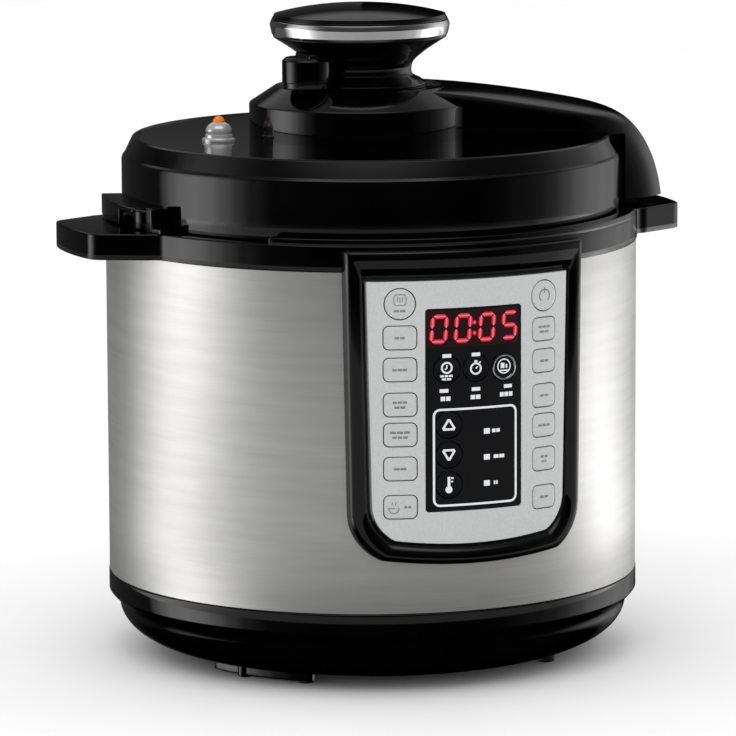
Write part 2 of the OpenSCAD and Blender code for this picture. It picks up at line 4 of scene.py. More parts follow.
import bmesh
import bpy
import numpy as np
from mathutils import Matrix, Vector


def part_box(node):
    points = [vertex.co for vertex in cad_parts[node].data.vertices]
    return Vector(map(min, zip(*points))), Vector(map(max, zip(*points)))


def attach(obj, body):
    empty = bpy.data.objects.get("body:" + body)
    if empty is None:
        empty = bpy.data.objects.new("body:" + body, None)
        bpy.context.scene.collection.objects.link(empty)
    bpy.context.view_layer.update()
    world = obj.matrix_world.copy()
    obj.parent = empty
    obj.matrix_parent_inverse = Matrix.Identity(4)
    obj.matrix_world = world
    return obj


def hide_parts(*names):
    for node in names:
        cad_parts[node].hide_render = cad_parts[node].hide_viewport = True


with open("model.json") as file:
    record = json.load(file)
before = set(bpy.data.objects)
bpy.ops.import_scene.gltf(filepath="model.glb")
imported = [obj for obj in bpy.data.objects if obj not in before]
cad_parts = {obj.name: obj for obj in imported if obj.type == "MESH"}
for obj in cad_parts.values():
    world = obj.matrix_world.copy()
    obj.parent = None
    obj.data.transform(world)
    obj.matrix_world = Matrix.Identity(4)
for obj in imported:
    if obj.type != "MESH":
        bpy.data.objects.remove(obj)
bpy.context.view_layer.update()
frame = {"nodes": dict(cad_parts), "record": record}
NODES = frame["nodes"]
MM = 0.001

# Angles about Z are measured from the front (-Y) towards +X, in degrees.
CAMERA_AZ = -21.3


def at_angle(az, r):
    """The point (x, y) at radius r and angle az from the front."""
    a = math.radians(az)
    return r * math.sin(a), -r * math.cos(a)


# ---------- materials ----------


def new_material(name):
    m = bpy.data.materials.new(name)
    m.use_nodes = True
    m.node_tree.nodes.clear()
    out = m.node_tree.nodes.new("ShaderNodeOutputMaterial")
    shader = m.node_tree.nodes.new("ShaderNodeBsdfPrincipled")
    m.node_tree.links.new(shader.outputs[0], out.inputs[0])
    return m, m.node_tree, shader


def noise(tree, scale, detail=3.0, stretch=(1, 1, 1), vector=None, rough=0.55):
    """A noise texture in object space. Its scale is in cycles per metre."""
    if vector is None:
        vector = tree.nodes.new("ShaderNodeTexCoord").outputs["Object"]
    mapping = tree.nodes.new("ShaderNodeMapping")
    mapping.inputs["Scale"].default_value = stretch
    tree.links.new(vector, mapping.inputs["Vector"])
    n = tree.nodes.new("ShaderNodeTexNoise")
    n.inputs["Scale"].default_value = scale
    n.inputs["Detail"].default_value = detail
    n.inputs["Roughness"].default_value = rough
    tree.links.new(mapping.outputs[0], n.inputs["Vector"])
    return n.outputs["Fac"]


def spread(tree, value, low, high, start=0.3, end=0.7):
    m = tree.nodes.new("ShaderNodeMapRange")
    m.inputs["From Min"].default_value = start
    m.inputs["From Max"].default_value = end
    m.inputs["To Min"].default_value = low
    m.inputs["To Max"].default_value = high
    tree.links.new(value, m.inputs["Value"])
    return m.outputs[0]


def tint(tree, value, dark, light):
    mix = tree.nodes.new("ShaderNodeMix")
    mix.data_type = "RGBA"
    mix.inputs[6].default_value = (*dark, 1)
    mix.inputs[7].default_value = (*light, 1)
    tree.links.new(value, mix.inputs[0])
    return mix.outputs[2]


def bump(tree, shader, height, strength, distance):
    b = tree.nodes.new("ShaderNodeBump")
    b.inputs["Strength"].default_value = strength
    b.inputs["Distance"].default_value = distance
    tree.links.new(height, b.inputs["Height"])
    tree.links.new(b.outputs[0], shader.inputs["Normal"])
    return b


def plain(name, dark, light, rough, metallic=0.0, grain=1500, bump_mm=0.0, strength=0.2, coat=0.0, ior=1.5,
          specular=0.5, cloud=40):
    """A moulded, cast or lacquered finish: cloudy colour, uneven gloss and a fine grain."""
    m, tree, shader = new_material(name)
    clouds = noise(tree, cloud, 4.0)
    fine = noise(tree, grain, 2.0)
    tree.links.new(tint(tree, spread(tree, clouds, 0, 1), dark, light), shader.inputs["Base Color"])
    tree.links.new(spread(tree, clouds, rough[0], rough[1]), shader.inputs["Roughness"])
    shader.inputs["Metallic"].default_value = metallic
    shader.inputs["IOR"].default_value = ior
    shader.inputs["Specular IOR Level"].default_value = specular
    shader.inputs["Coat Weight"].default_value = coat
    shader.inputs["Coat Roughness"].default_value = 0.05
    if bump_mm:
        bump(tree, shader, fine, strength, bump_mm * MM)
    return m


def round_vector(tree, along, across):
    """Coordinates that follow the round body: angle times along, height times across."""
    split = tree.nodes.new("ShaderNodeSeparateXYZ")
    tree.links.new(tree.nodes.new("ShaderNodeTexCoord").outputs["Object"], split.inputs[0])
    angle = tree.nodes.new("ShaderNodeMath")
    angle.operation = "ARCTAN2"
    tree.links.new(split.outputs[0], angle.inputs[0])
    tree.links.new(split.outputs[1], angle.inputs[1])
    join = tree.nodes.new("ShaderNodeCombineXYZ")
    tree.links.new(angle.outputs[0], join.inputs[0])
    tree.links.new(split.outputs[2], join.inputs[2])
    scaled = tree.nodes.new("ShaderNodeVectorMath")
    scaled.operation = "MULTIPLY"
    scaled.inputs[1].default_value = (along, 1, across)
    tree.links.new(join.outputs[0], scaled.inputs[0])
    return scaled.outputs[0]


def brushed(name, dark, light, rough, anisotropic, metallic=1.0):
    """Steel brushed round the body: fine lines that follow the angle, broken by faint wide streaks."""
    m, tree, shader = new_material(name)
    lines = noise(tree, 1.0, 4.0, vector=round_vector(tree, 1.2, 5200), rough=0.65)
    streaks = noise(tree, 1.0, 2.0, vector=round_vector(tree, 2.5, 160))
    both = tree.nodes.new("ShaderNodeMath")
    both.operation = "MULTIPLY_ADD"
    both.inputs[1].default_value = 0.6
    tree.links.new(lines, both.inputs[0])
    tree.links.new(spread(tree, streaks, 0, 0.4, 0, 1), both.inputs[2])
    tree.links.new(tint(tree, spread(tree, both.outputs[0], 0, 1), dark, light), shader.inputs["Base Color"])
    tree.links.new(spread(tree, lines, rough[0], rough[1]), shader.inputs["Roughness"])
    shader.inputs["Metallic"].default_value = metallic
    shader.inputs["Anisotropic"].default_value = anisotropic
    tangent = tree.nodes.new("ShaderNodeTangent")
    tangent.direction_type = "RADIAL"
    tangent.axis = "Z"
    tree.links.new(tangent.outputs[0], shader.inputs["Tangent"])
    bump(tree, shader, lines, 0.08, 0.02 * MM)
    return m


def light_paint(name, colour, strength):
    """Lit lamp segment, or a painted glow on something that is no lamp (white print, the digits' light spread
    over the window): a base colour with a glow that varies slightly.
    """
    m, tree, shader = new_material(name)
    cloud = noise(tree, 300, 2.0)
    dark, light = [c * 0.08 for c in colour], [c * 0.12 for c in colour]
    tree.links.new(tint(tree, spread(tree, cloud, 0, 1), dark, light), shader.inputs["Base Color"])
    shader.inputs["Roughness"].default_value = 0.45
    shader.inputs["Emission Color"].default_value = (*colour, 1)
    shader.inputs["Emission Strength"].default_value = strength
    return m


M = {
    "gloss_black": plain("gloss_black", (0.0004, 0.0004, 0.0005), (0.001, 0.001, 0.0011), (0.035, 0.075),
                         grain=260, bump_mm=0.02, strength=0.02),
    "satin_black": plain("satin_black", (0.0014, 0.0014, 0.0016), (0.003, 0.003, 0.0033), (0.2, 0.3),
                         grain=2600, bump_mm=0.05, strength=0.12),
    "brushed_steel": brushed("brushed_steel", (0.56, 0.555, 0.55), (0.72, 0.715, 0.71),
                             (0.26, 0.36), 0.75, 0.85),
    "stainless": brushed("stainless", (0.5, 0.5, 0.5), (0.66, 0.66, 0.66), (0.2, 0.34), 0.3),
    "plate_aluminium": plain("plate_aluminium", (0.5, 0.5, 0.51), (0.66, 0.66, 0.67),
                             (0.3, 0.45), 1.0, 1800, 0.08),
    "spring_steel": plain("spring_steel", (0.35, 0.35, 0.36), (0.5, 0.5, 0.5), (0.2, 0.3), 1.0, 2500, 0.02),
    "screw_steel": plain("screw_steel", (0.5, 0.5, 0.5), (0.68, 0.68, 0.7), (0.18, 0.3), 1.0, 2500, 0.02),
    "ceramic": plain("ceramic", (0.6, 0.58, 0.5), (0.72, 0.7, 0.62), (0.5, 0.65), 0.0, 2500, 0.05),
    "board": plain("board", (0.012, 0.07, 0.035), (0.02, 0.11, 0.05), (0.3, 0.45), 0.0, 900, 0.03),
    "board_parts": plain("board_parts", (0.02, 0.02, 0.03), (0.05, 0.05, 0.07), (0.3, 0.5), 0.0, 2200, 0.03),
    "contact_brass": plain("contact_brass", (0.62, 0.44, 0.18), (0.78, 0.58, 0.28),
                           (0.2, 0.32), 1.0, 2500, 0.02),
    "smoke_plastic": plain("smoke_plastic", (0.012, 0.012, 0.014), (0.022, 0.022, 0.025),
                           (0.12, 0.2), grain=900,
                           bump_mm=0.02, strength=0.05),
    "silver_panel": plain("silver_panel", (0.56, 0.565, 0.565), (0.64, 0.645, 0.645),
                          (0.34, 0.44), 0.25, 3500, 0.012,
                          0.1, cloud=900),
    "key_silver": plain("key_silver", (0.54, 0.545, 0.545), (0.62, 0.625, 0.625),
                        (0.34, 0.44), 0.25, 3500, 0.012,
                        0.1, cloud=900),
    "display_black": plain("display_black", (0.002, 0.002, 0.003), (0.004, 0.004, 0.005),
                           (0.25, 0.34), grain=300,
                           bump_mm=0.02, strength=0.02, specular=0.3),
    "dark_plastic": plain("dark_plastic", (0.01, 0.01, 0.011), (0.02, 0.02, 0.022),
                          (0.4, 0.55), 0.0, 2500, 0.05),
    "pot_coating": plain("pot_coating", (0.02, 0.02, 0.021), (0.035, 0.035, 0.037),
                         (0.3, 0.42), 0.3, 3000, 0.04),
    "silicone": plain("silicone", (0.5, 0.49, 0.46), (0.62, 0.61, 0.58), (0.42, 0.55), 0.0, 1500, 0.03),
    "rubber": plain("rubber", (0.008, 0.008, 0.008), (0.016, 0.016, 0.016), (0.6, 0.75), 0.0, 2200, 0.08),
    "chrome": plain("chrome", (0.72, 0.72, 0.73), (0.8, 0.8, 0.81), (0.05, 0.1), 1.0, 300, 0.01, 0.03),
    "cap_white": plain("cap_white", (0.55, 0.55, 0.56), (0.7, 0.7, 0.7), (0.1, 0.18), 0.6, 400, 0.01, 0.05),
    "orange_plastic": plain("orange_plastic", (0.75, 0.16, 0.01), (0.9, 0.25, 0.02),
                            (0.25, 0.35), 0.0, 900, 0.02),
    "caption_grey": plain("caption_grey", (0.16, 0.16, 0.165), (0.24, 0.24, 0.245),
                          (0.5, 0.6), 0.0, 1800, 0.01),
    # painted glow: the white print on the window and its keys shines by emission, though it is no lamp
    "print_white": light_paint("print_white", (0.8, 0.81, 0.83), 0.85),
    "print_dark": plain("print_dark", (0.03, 0.03, 0.032), (0.06, 0.06, 0.064), (0.4, 0.5), 0.0, 1800, 0.01),
    "lamp_red": light_paint("lamp_red", (0.72, 0.012, 0.03), 0.85),
    "lamp_core": light_paint("lamp_core", (0.95, 0.14, 0.2), 0.9),
    # painted glow: a faint red sheet standing for the digits' light spread over the window
    "lamp_haze": light_paint("lamp_haze", (0.035, 0.001, 0.003), 0.3),
}

slot_of = {s["node"]: s["material_slot"] for s in frame["record"]["subparts"]}
for node, obj in NODES.items():
    obj.data.materials.clear()
    obj.data.materials.append(M[slot_of[node]])
    obj.data.shade_smooth()
    weld = obj.modifiers.new("weld", "WELD")
    weld.merge_threshold = 0.00001


# ---------- mesh helpers ----------


def fillet(points, steps=5):
    """A closed outline from (x, y, corner radius) points, with its corners rounded."""
    out = []
    for i, p in enumerate(points):
        radius = p[2] if len(p) > 2 else 0
        b = Vector(p[:2])
        if radius <= 0:
            out.append(tuple(b))
            continue
        a, c = Vector(points[i - 1][:2]), Vector(points[(i + 1) % len(points)][:2])
        u, v = (a - b).normalized(), (c - b).normalized()
        half = u.angle(v) / 2
        reach = min(radius / math.tan(half), 0.48 * (a - b).length, 0.48 * (c - b).length)
        radius = reach * math.tan(half)
        centre = b + (u + v).normalized() * (radius / math.sin(half))
        start, end = b + u * reach - centre, b + v * reach - centre
        turn = start.angle_signed(end)
        for k in range(steps + 1):
            t = -turn * k / steps
            out.append((centre.x + start.x * math.cos(t) - start.y * math.sin(t),
                        centre.y + start.x * math.sin(t) + start.y * math.cos(t)))
    return out


def make(name, verts, faces, material, body, nodes=(), slot=None, sharp=35):
    """A piece from vertices in millimetres. It rides on a body and may stand for CAD nodes."""
    me = bpy.data.meshes.new(name)
    me.from_pydata([tuple(c * MM for c in v) for v in verts], [], faces)
    me.validate()
    me.update()
    o = bpy.data.objects.new(name, me)
    bpy.context.scene.collection.objects.link(o)
    me.materials.append(M[material])
    me.shade_smooth()
    me.set_sharp_from_angle(angle=math.radians(sharp))
    if body:
        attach(o, body)
    if nodes:
        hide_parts(*nodes)
    return o


def revolve_mesh(profile, cx=0.0, cy=0.0, steps=240, skip=None):
    """A closed profile of (r, z) turned about a vertical axis. skip(x, y, z) leaves a face out."""
    n = len(profile)
    verts, faces = [], []
    for k in range(steps):
        a = 2 * math.pi * k / steps
        for r, z in profile:
            verts.append((cx + r * math.sin(a), cy - r * math.cos(a), z))
    for k in range(steps):
        for i in range(n):
            j, m = (i + 1) % n, (k + 1) % steps
            if profile[i][0] < 1e-6 and profile[j][0] < 1e-6:
                continue
            quad = [k * n + i, m * n + i, m * n + j, k * n + j]
            if profile[i][0] < 1e-6:
                quad = [i, m * n + j, k * n + j]
            elif profile[j][0] < 1e-6:
                quad = [k * n + i, m * n + i, j]
            if skip:
                mid = [sum(verts[q][c] for q in quad) / len(quad) for c in range(3)]
                if skip(*mid):
                    continue
            faces.append(quad)
    return verts, faces


def join(*meshes):
    verts, faces = [], []
    for v, f in meshes:
        start = len(verts)
        verts += v
        faces += [[i + start for i in face] for face in f]
    return verts, faces


def clean(obj):
    """Drops loose points and turns every face outwards."""
    bm = bmesh.new()
    bm.from_mesh(obj.data)
    bmesh.ops.remove_doubles(bm, verts=bm.verts, dist=1e-7)
    loose = [v for v in bm.verts if not v.link_faces]
    bmesh.ops.delete(bm, geom=loose, context="VERTS")
    bmesh.ops.recalc_face_normals(bm, faces=bm.faces)
    bm.to_mesh(obj.data)
    bm.free()
    return obj


def revolve(name, profile, material, body, nodes=(), cx=0.0, cy=0.0, steps=240, skip=None):
    verts, faces = revolve_mesh(profile, cx, cy, steps, skip)
    return clean(make(name, verts, faces, material, body, nodes))


def loft_mesh(loops, close_first=True, close_last=True):
    """Closed loops of the same number of points, joined by quads."""
    n = len(loops[0])
    verts = [p for loop in loops for p in loop]
    faces = [[k * n + i, k * n + (i + 1) % n, (k + 1) * n + (i + 1) % n, (k + 1) * n + i]
             for k in range(len(loops) - 1) for i in range(n)]
    if close_first:
        faces.append(list(range(n)))
    if close_last:
        faces.append([(len(loops) - 1) * n + i for i in range(n)])
    return verts, faces


def slab_mesh(r0, r1, z0, z1, az0, az1, bevel, steps=24):
    """Part of a ring between two angles with rounded edges all round."""
    section = fillet([(r0, z0, bevel), (r1, z0, bevel), (r1, z1, bevel), (r0, z1, bevel)], 4)
    mid_r, mid_z = (r0 + r1) / 2, (z0 + z1) / 2
    loops = []
    deg = math.degrees(bevel / mid_r)
    places = [(az0 + deg * (1 - math.cos(math.radians(t))), bevel * (1 - math.sin(math.radians(t))))
              for t in (0, 30, 60, 90)]
    angles = places + [(az0 + deg + (az1 - az0 - 2 * deg) * k / steps, 0) for k in range(1, steps)]
    angles += [(az1 - (a - az0), s) for a, s in reversed(places)]
    for az, inset in angles:
        loop = []
        for r, z in section:
            dr = max(-1, min(1, (r - mid_r) / max(1e-6, (r1 - r0) / 2)))
            dz = max(-1, min(1, (z - mid_z) / max(1e-6, (z1 - z0) / 2)))
            x, y = at_angle(az, r - dr * inset)
            loop.append((x, y, z - dz * inset))
        loops.append(loop)
    return loft_mesh(loops)


def arc_points(cx, cz, r, a0, a1, n):
    return [(cx + r * math.cos(math.radians(a)), cz + r * math.sin(math.radians(a)))
            for a in np.linspace(a0, a1, n)]


def round_rect_points(w, h, r, n=6):
    pts = []
    for cx, cz, a in ((w / 2 - r, h / 2 - r, 0), (-w / 2 + r, h / 2 - r, 90), (-w / 2 + r, -h / 2 + r, 180),
                      (w / 2 - r, -h / 2 + r, 270)):
        pts += arc_points(cx, cz, r, a, a + 90, n)
    return pts


def on_front(x, z, r):
    """A point seen from the front at (x, z), on a cylinder of radius r about the body's axis."""
    return x, -math.sqrt(r * r - x * x), z


# ---------- steel body and base ----------

BODY_R, BODY_INNER_R = 145, 144.2
INLET_HALF_W = 17.2
REAR_OPENINGS = [(-INLET_HALF_W, INLET_HALF_W, 29.8, 56.2), (-24.5, 24.5, 158, 222)]


def opening(x, y, z):
    """Whether a point of the body's wall lies in the panel's, the inlet's or the cup's opening."""
    if y < 0:
        return abs(x) < 52 and 84 < z < 222
    return any(x0 < x < x1 and z0 < z < z1 for x0, x1, z0, z1 in REAR_OPENINGS)


sleeve_rows = [46, 56.2, 84, 120, 158, 190, 222, 227]
sleeve_profile = [(BODY_R, z) for z in sleeve_rows] + [(BODY_INNER_R, z) for z in reversed(sleeve_rows)]
revolve("body_sleeve", sleeve_profile, "brushed_steel", "base", ["steel_sleeve"], steps=360, skip=opening)

BOWL_FLAT_R, BOWL_TOP_Z = 98, 28
BOWL_SPREAD, BOWL_DEPTH, BOWL_WALL = 41.5, 24, 3
POST_R, FOOT_R = 93, 106.5
bowl_turns = [math.radians(t) for t in range(0, 91, 5)]
bowl = [(BOWL_FLAT_R + BOWL_SPREAD * math.sin(t), BOWL_TOP_Z - BOWL_DEPTH * math.cos(t)) for t in bowl_turns]
base_profile = fillet(
    [(r, z, 0) for r, z in bowl]
    + [(140.2, 29.6, 0.6), (143.4, 32.4, 1.2), (145.3, 34.6, 1.2), (145.3, 45.6, 0.8), (142.2, 46, 0.2),
       (142, 37, 0.5), (138, 30, 1)]
    + [(r - BOWL_WALL, z + BOWL_WALL / 2, 0) for r, z in reversed(bowl[3:-1])]
    + [(100, 9.5, 0), (90, 9.5, 0.3), (90, 7, 0.3), (98, 7, 0.2)], 4)
base_mesh = revolve_mesh(base_profile, steps=288,
                         skip=lambda x, y, z: y > 0 and abs(x) < INLET_HALF_W and z > 30)
rail = slab_mesh(107.5, 112.5, 1.5, 7.5, -71, -38, 0.8)
pad = revolve_mesh(fillet([(0, 0.5), (4, 0.5, 0.8), (4, 7.5, 0.1), (0, 7.5)]), *at_angle(-60, 110), steps=40)
posts = []
for k in range(4):
    x, y = at_angle(k * 90 + 45, POST_R)
    posts.append(revolve_mesh(fillet([(0, 8), (5, 8, 0.2), (5, 54, 0.8), (0, 54)]), x, y, 32))
verts, faces = join(base_mesh, rail, pad, *posts)
clean(make("base_bowl", verts, faces, "gloss_black", "base", ["base_shell"], "satin_black"))

feet = []
for az in (-41, 41, 139, -139):
    x, y = at_angle(az, FOOT_R)
    feet.append(revolve_mesh(fillet([(0, 0), (4.7, 0, 0.9), (4.7, 6, 0.2), (0, 6)]), x, y, 48))
verts, faces = join(*feet)
clean(make("feet", verts, faces, "rubber", "base", ["rubber_feet"]))


# ---------- collar and handles ----------

TIP, TIP_R = 174.5, 142
COLLAR_R, HANDLE_HALF_W = 145.5, 45
COLLAR_LOW, COLLAR_TOP, COLLAR_INNER_R = 227, 241, 127
COLLAR_WALL, EDGE_R = 2.8, 0.9


def collar_outline():
    """The collar's outline seen from above, a quarter at a time, as evenly spaced points."""
    ring, half, f = COLLAR_R, HANDLE_HALF_W, 8
    cy = half + f
    cx = math.sqrt((ring + f) ** 2 - cy * cy)
    touch = math.degrees(math.atan2(cy, cx))
    quarter = arc_points(0, 0, ring, 90, touch, 60)[:-1] + arc_points(cx, cy, f, touch + 180, 270, 14)
    corner_x, corner_y, corner_r, start, end = 162.2, 24.5, 10, 63, 10.7
    corner = arc_points(corner_x, corner_y, corner_r, start, end, 12)
    quarter += [(x, half + (corner[0][1] - half) * (x - cx) / (corner[0][0] - cx))
                for x in np.linspace(cx, corner[0][0], 12)[1:-1]]
    quarter += corner + arc_points(TIP - TIP_R, 0, TIP_R, end, 0, 10)[1:]
    mirrored = [(x, -y) for x, y in reversed(quarter[:-1])]
    right = quarter + mirrored
    return right + [(-x, -y) for x, y in right[1:-1]]


def inset(outline, d):
    """A closed outline moved inwards by d."""
    n = len(outline)
    out = []
    for i in range(n):
        (x0, y0), (x1, y1) = outline[i - 1], outline[(i + 1) % n]
        length = math.hypot(x1 - x0, y1 - y0)
        out.append((outline[i][0] - d * (y0 - y1) / length, outline[i][1] - d * (x1 - x0) / length))
    return out


OUTLINE = collar_outline()


def collar():
    def level(d, z):
        return [(x, y, z) for x, y in inset(OUTLINE, d)]

    def ring(r, z):
        scaled = [(x, y, r / math.hypot(x, y)) for x, y in OUTLINE]
        return [(x * k, y * k, z) for x, y, k in scaled]

    edge = [(EDGE_R * (1 - math.sin(t)), COLLAR_TOP - EDGE_R * (1 - math.cos(t)))
            for t in np.linspace(0, math.pi / 2, 7)]
    loops = [ring(COLLAR_INNER_R, 229.0), ring(COLLAR_INNER_R, 240.4), ring(COLLAR_INNER_R + 0.6, COLLAR_TOP)]
    loops += [level(d, z) for d, z in edge]
    loops += [level(0, 236), level(0, 230), level(0, 227.8), level(0.3, 227.2), level(0.8, COLLAR_LOW)]
    loops += [level(2.4, COLLAR_LOW), level(COLLAR_WALL, 227.5), level(COLLAR_WALL, 236), level(3.4, 238.2)]
    loops += [ring(131.5, 238.2), ring(130.2, 237.8), ring(129.8, 229.0)]
    verts, faces = loft_mesh(loops, False, False)
    n, last = len(OUTLINE), len(loops) - 1
    faces += [[last * n + i, last * n + (i + 1) % n, (i + 1) % n, i] for i in range(n)]
    raised = slab_mesh(138, 145.3, 240.2, 244.5, -43, 62, 0.8, 90)
    verts, faces = join((verts, faces), raised)
    return clean(make("collar_ring", verts, faces, "gloss_black", "base", ["collar"]))


collar()
hook = join(slab_mesh(139, 147, 240.8, 254, -76, -73.5, 0.9, 6),
            slab_mesh(139.3, 146.7, 240.8, 243.6, -74.3, -70.6, 0.6, 6))
clean(make("stop_hook", *hook, "gloss_black", "base", ["lid_stop"]))


# ---------- lid ----------

BOSS_X = -6
lid_profile = fillet([
    (133.5, 241.5, 0.3), (136, 241.5, 0.7), (136, 271.6, 0), (135.5, 273.4, 1.6), (134.4, 274.6, 1.2),
    (130.2, 283.3, 0.8), (129.0, 284, 0.7), (126.6, 284, 0.35), (126.3, 283.4, 0.2), (0, 283.4, 0),
    (0, 281.2, 0), (126, 281.2, 0.5), (132.2, 272.5, 1), (133.5, 270, 1)], 5)
lug = [slab_mesh(134.8, 147, 249.5, 252.5, -109, -81, 1.2),
       slab_mesh(144.4, 147, 241.8, 252.4, -109, -88, 0.9),
       slab_mesh(134.8, 147, 241.8, 252.4, -109, -107, 0.6, 6)]
pin_x, pin_y = at_angle(-80, 139.5)
pin_profile = fillet([(0, 241.8), (7.4, 241.8, 0.6), (7.4, 252, 1.6), (0, 252)], 6)
lug.append(revolve_mesh(pin_profile, pin_x, pin_y, 64))
verts, faces = join(revolve_mesh(lid_profile, steps=360), *lug)
clean(make("lid_dish", verts, faces, "gloss_black", "lid", ["lid_shell"]))

boss_profile = fillet([
    (60.5, 283, 0), (60.5, 301.6, 1.6), (46.6, 310.7, 0.9), (45.2, 311, 0.4), (43.6, 311, 0.3),
    (43.4, 310.2, 0.2), (0, 310.2, 0), (0, 307, 0), (45, 307, 0), (58, 299.5, 0), (58, 283, 0)], 5)


def arm_mesh():
    """A crowned top with rounded sides, an end that turns down over the lid's edge, and flat side walls."""
    ctrl = [(40, 311.5), (118, 308), (160.5, 302), (168, 246)]
    rows = []
    for t in np.linspace(0, 1, 61):
        b = ((1 - t) ** 3, 3 * t * (1 - t) ** 2, 3 * t * t * (1 - t), t ** 3)
        rows.append((sum(w * c[0] for w, c in zip(b, ctrl)), sum(w * c[1] for w, c in zip(b, ctrl))))
    half, rim, crown_r, blend = 43, 2.6, 120, 2.4
    corner_x, corner_y, end_r = 30, 16, 62
    bend_start, bend_length = 90, 70
    blend_z, foot, wall_x = 270, 245.8, 133
    fall = math.radians(10.6)
    slope, lean = math.tan(fall), math.cos(fall)
    widths = [half * math.sin(math.radians(a)) for a in np.linspace(-90, 90, 49)]
    n = len(widths)
    verts, faces = [], []
    for k, (rho, h) in enumerate(rows):
        (r0, h0), (r1, h1) = rows[max(0, k - 1)], rows[min(len(rows) - 1, k + 1)]
        length = math.hypot(r1 - r0, h1 - h0)
        nx, nz = (h0 - h1) / length, (r1 - r0) / length
        along = min(1, max(0, (rho - bend_start) / bend_length))
        late = along * along * (3 - 2 * along)
        reach = corner_x * late
        round_r = rho + (end_r - rho) * late
        for y in widths:
            t = max(0, abs(y) - (half - corner_y)) / corner_y
            q = rim * (1 - math.sqrt(max(0, 1 - (max(0, abs(y) - (half - rim)) / rim) ** 2)))
            x = rho - round_r + math.sqrt(max(1, round_r * round_r - y * y))
            x -= reach * (1 - math.sqrt(max(0, 1 - t * t)))
            crown = 311 - (x - 60) * slope - (crown_r - math.sqrt(crown_r ** 2 - y * y)) / lean
            lower = math.exp((blend_z - h) / blend) + math.exp((blend_z - crown) / blend)
            z = blend_z - blend * math.log(lower)
            verts.append((x - nx * q, y, z - nz * q))
    faces += [[k * n + i, k * n + i + 1, (k + 1) * n + i + 1, (k + 1) * n + i]
              for k in range(len(rows) - 1) for i in range(n - 1)]
    for side in (0, n - 1):
        low = []
        for k in range(len(rows)):
            x, y, z = verts[k * n + side]
            low.append(len(verts))
            verts.append((x, y, min(z - 0.1, foot if x > wall_x else 275 if x > 126 else 281.5)))
        faces += [[k * n + side, (k + 1) * n + side, low[k + 1], low[k]] for k in range(len(rows) - 1)]
    last = (len(rows) - 1) * n
    start = len(verts)
    verts += [(wall_x, -half, foot), (wall_x, half, foot)]
    faces.append([last + i for i in range(n)] + [start + 1, start])
    for way in (-1, 1):
        start = len(verts)
        for x, y in ((126, 41.2), (128.6, 42.2), (133.1, 39.4), (133.1, half)):
            verts += [(x, way * y, foot), (x, way * y, 282)]
        faces += [[start + 2 * i, start + 2 * i + 2, start + 2 * i + 3, start + 2 * i + 1] for i in range(3)]
    return verts, faces


revolve("lid_boss", boss_profile, "gloss_black", "lid", ["lid_cover"], BOSS_X)
clean(make("lid_arm", *arm_mesh(), "gloss_black", "lid", ["lid_cover"]))


# ---------- knob and valves ----------

band_profile = fillet([(44, 338, 0), (47.2, 338, 0.4), (48.0, 339.4, 0.8), (49, 344.2, 1.4),
                       (48.1, 346.8, 0.5), (44, 346.8, 0)], 5)
revolve("knob_band", band_profile, "chrome", "lid", ["knob_ring"], BOSS_X, steps=288)
dome_profile = [(0, 338.2), (43.8, 338.2), (43.8, 346.9)] + fillet(
    [(47.2, 346.9, 0.2), (47.9, 347.2, 0.4), (47.6, 348.2, 0.6)], 3)
DOME_R, DOME_TOP, DOME_DROP = 46.6, 355.3, 5.6
dome = [(DOME_R * t, DOME_TOP - DOME_DROP * t ** 2.2) for t in np.linspace(0, 1, 30)]
dome_profile += reversed(dome)
revolve("knob_dome", dome_profile, "gloss_black", "lid", ["knob_cap"], BOSS_X)

knob_profile = fillet([
    (0, 310.2), (36, 310.2, 0.3), (36, 312.4, 0.8), (33, 314.6, 1.5), (29, 316.4, 2), (28, 318.5, 2),
    (28.2, 321.5, 3), (29, 323.6, 3), (30.6, 325.6, 4), (33.6, 328.2, 5), (37.4, 331.1, 6), (42, 334.1, 6),
    (46.6, 337, 1.2), (47.6, 338, 0.3), (0, 338)], 4)
vx, vy = (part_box("steam_valve")[0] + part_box("steam_valve")[1]).xy / 2 / MM
POCKET_R, POCKET_TOP = 14.4, 332
revolve("knob_foot", knob_profile, "gloss_black", "lid", ["knob_base"], BOSS_X,
        skip=lambda x, y, z: math.hypot(x - vx, y - vy) < POCKET_R and z < POCKET_TOP)
valve_profile = fillet([
    (4.4, 312.4, 0.2), (13, 312.4, 0.8), (13, 316, 0.3), (13.5, 316.2, 0.3), (13.5, 327.6, 1.8),
    (11.6, 329.4, 1.2), (8, 329.0, 1), (0, 329.0), (0, 318), (4.4, 318)], 5)
grip = [[(vx + x, vy + y, z) for x, y in round_rect_points(w, h, r)]
        for w, h, r, z in ((6, 23.6, 2, 328.4), (5.6, 23.2, 1.9, 330.6), (4.8, 22.4, 1.6, 331.3))]
cap = join(revolve_mesh(valve_profile, vx, vy, 96), loft_mesh(grip))
clean(make("valve_cap", *cap, "gloss_black", "steam_weight", ["steam_valve"], "satin_black"))

fx, fy = (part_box("float_valve")[0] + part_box("float_valve")[1]).xy / 2 / MM
seat = fillet([(3.5, 281.3), (9.2, 281.3, 0.2), (9.2, 284.6, 0.6), (7.6, 285.1, 0.3), (7.4, 288.0, 0.6)], 4)
SEAT_R, SEAT_Z, SEAT_RISE = 7.4, 288, 6
seat += [(SEAT_R * math.cos(math.radians(a)), SEAT_Z + SEAT_RISE * math.sin(math.radians(a)))
         for a in range(8, 62, 6)]
seat += [(3.5, 293.4)]
revolve("float_dome", seat, "cap_white", "lid", ["float_seat"], fx, fy, 96)

for node, obj in NODES.items():
    obj.data.set_sharp_from_angle(angle=math.radians(32))


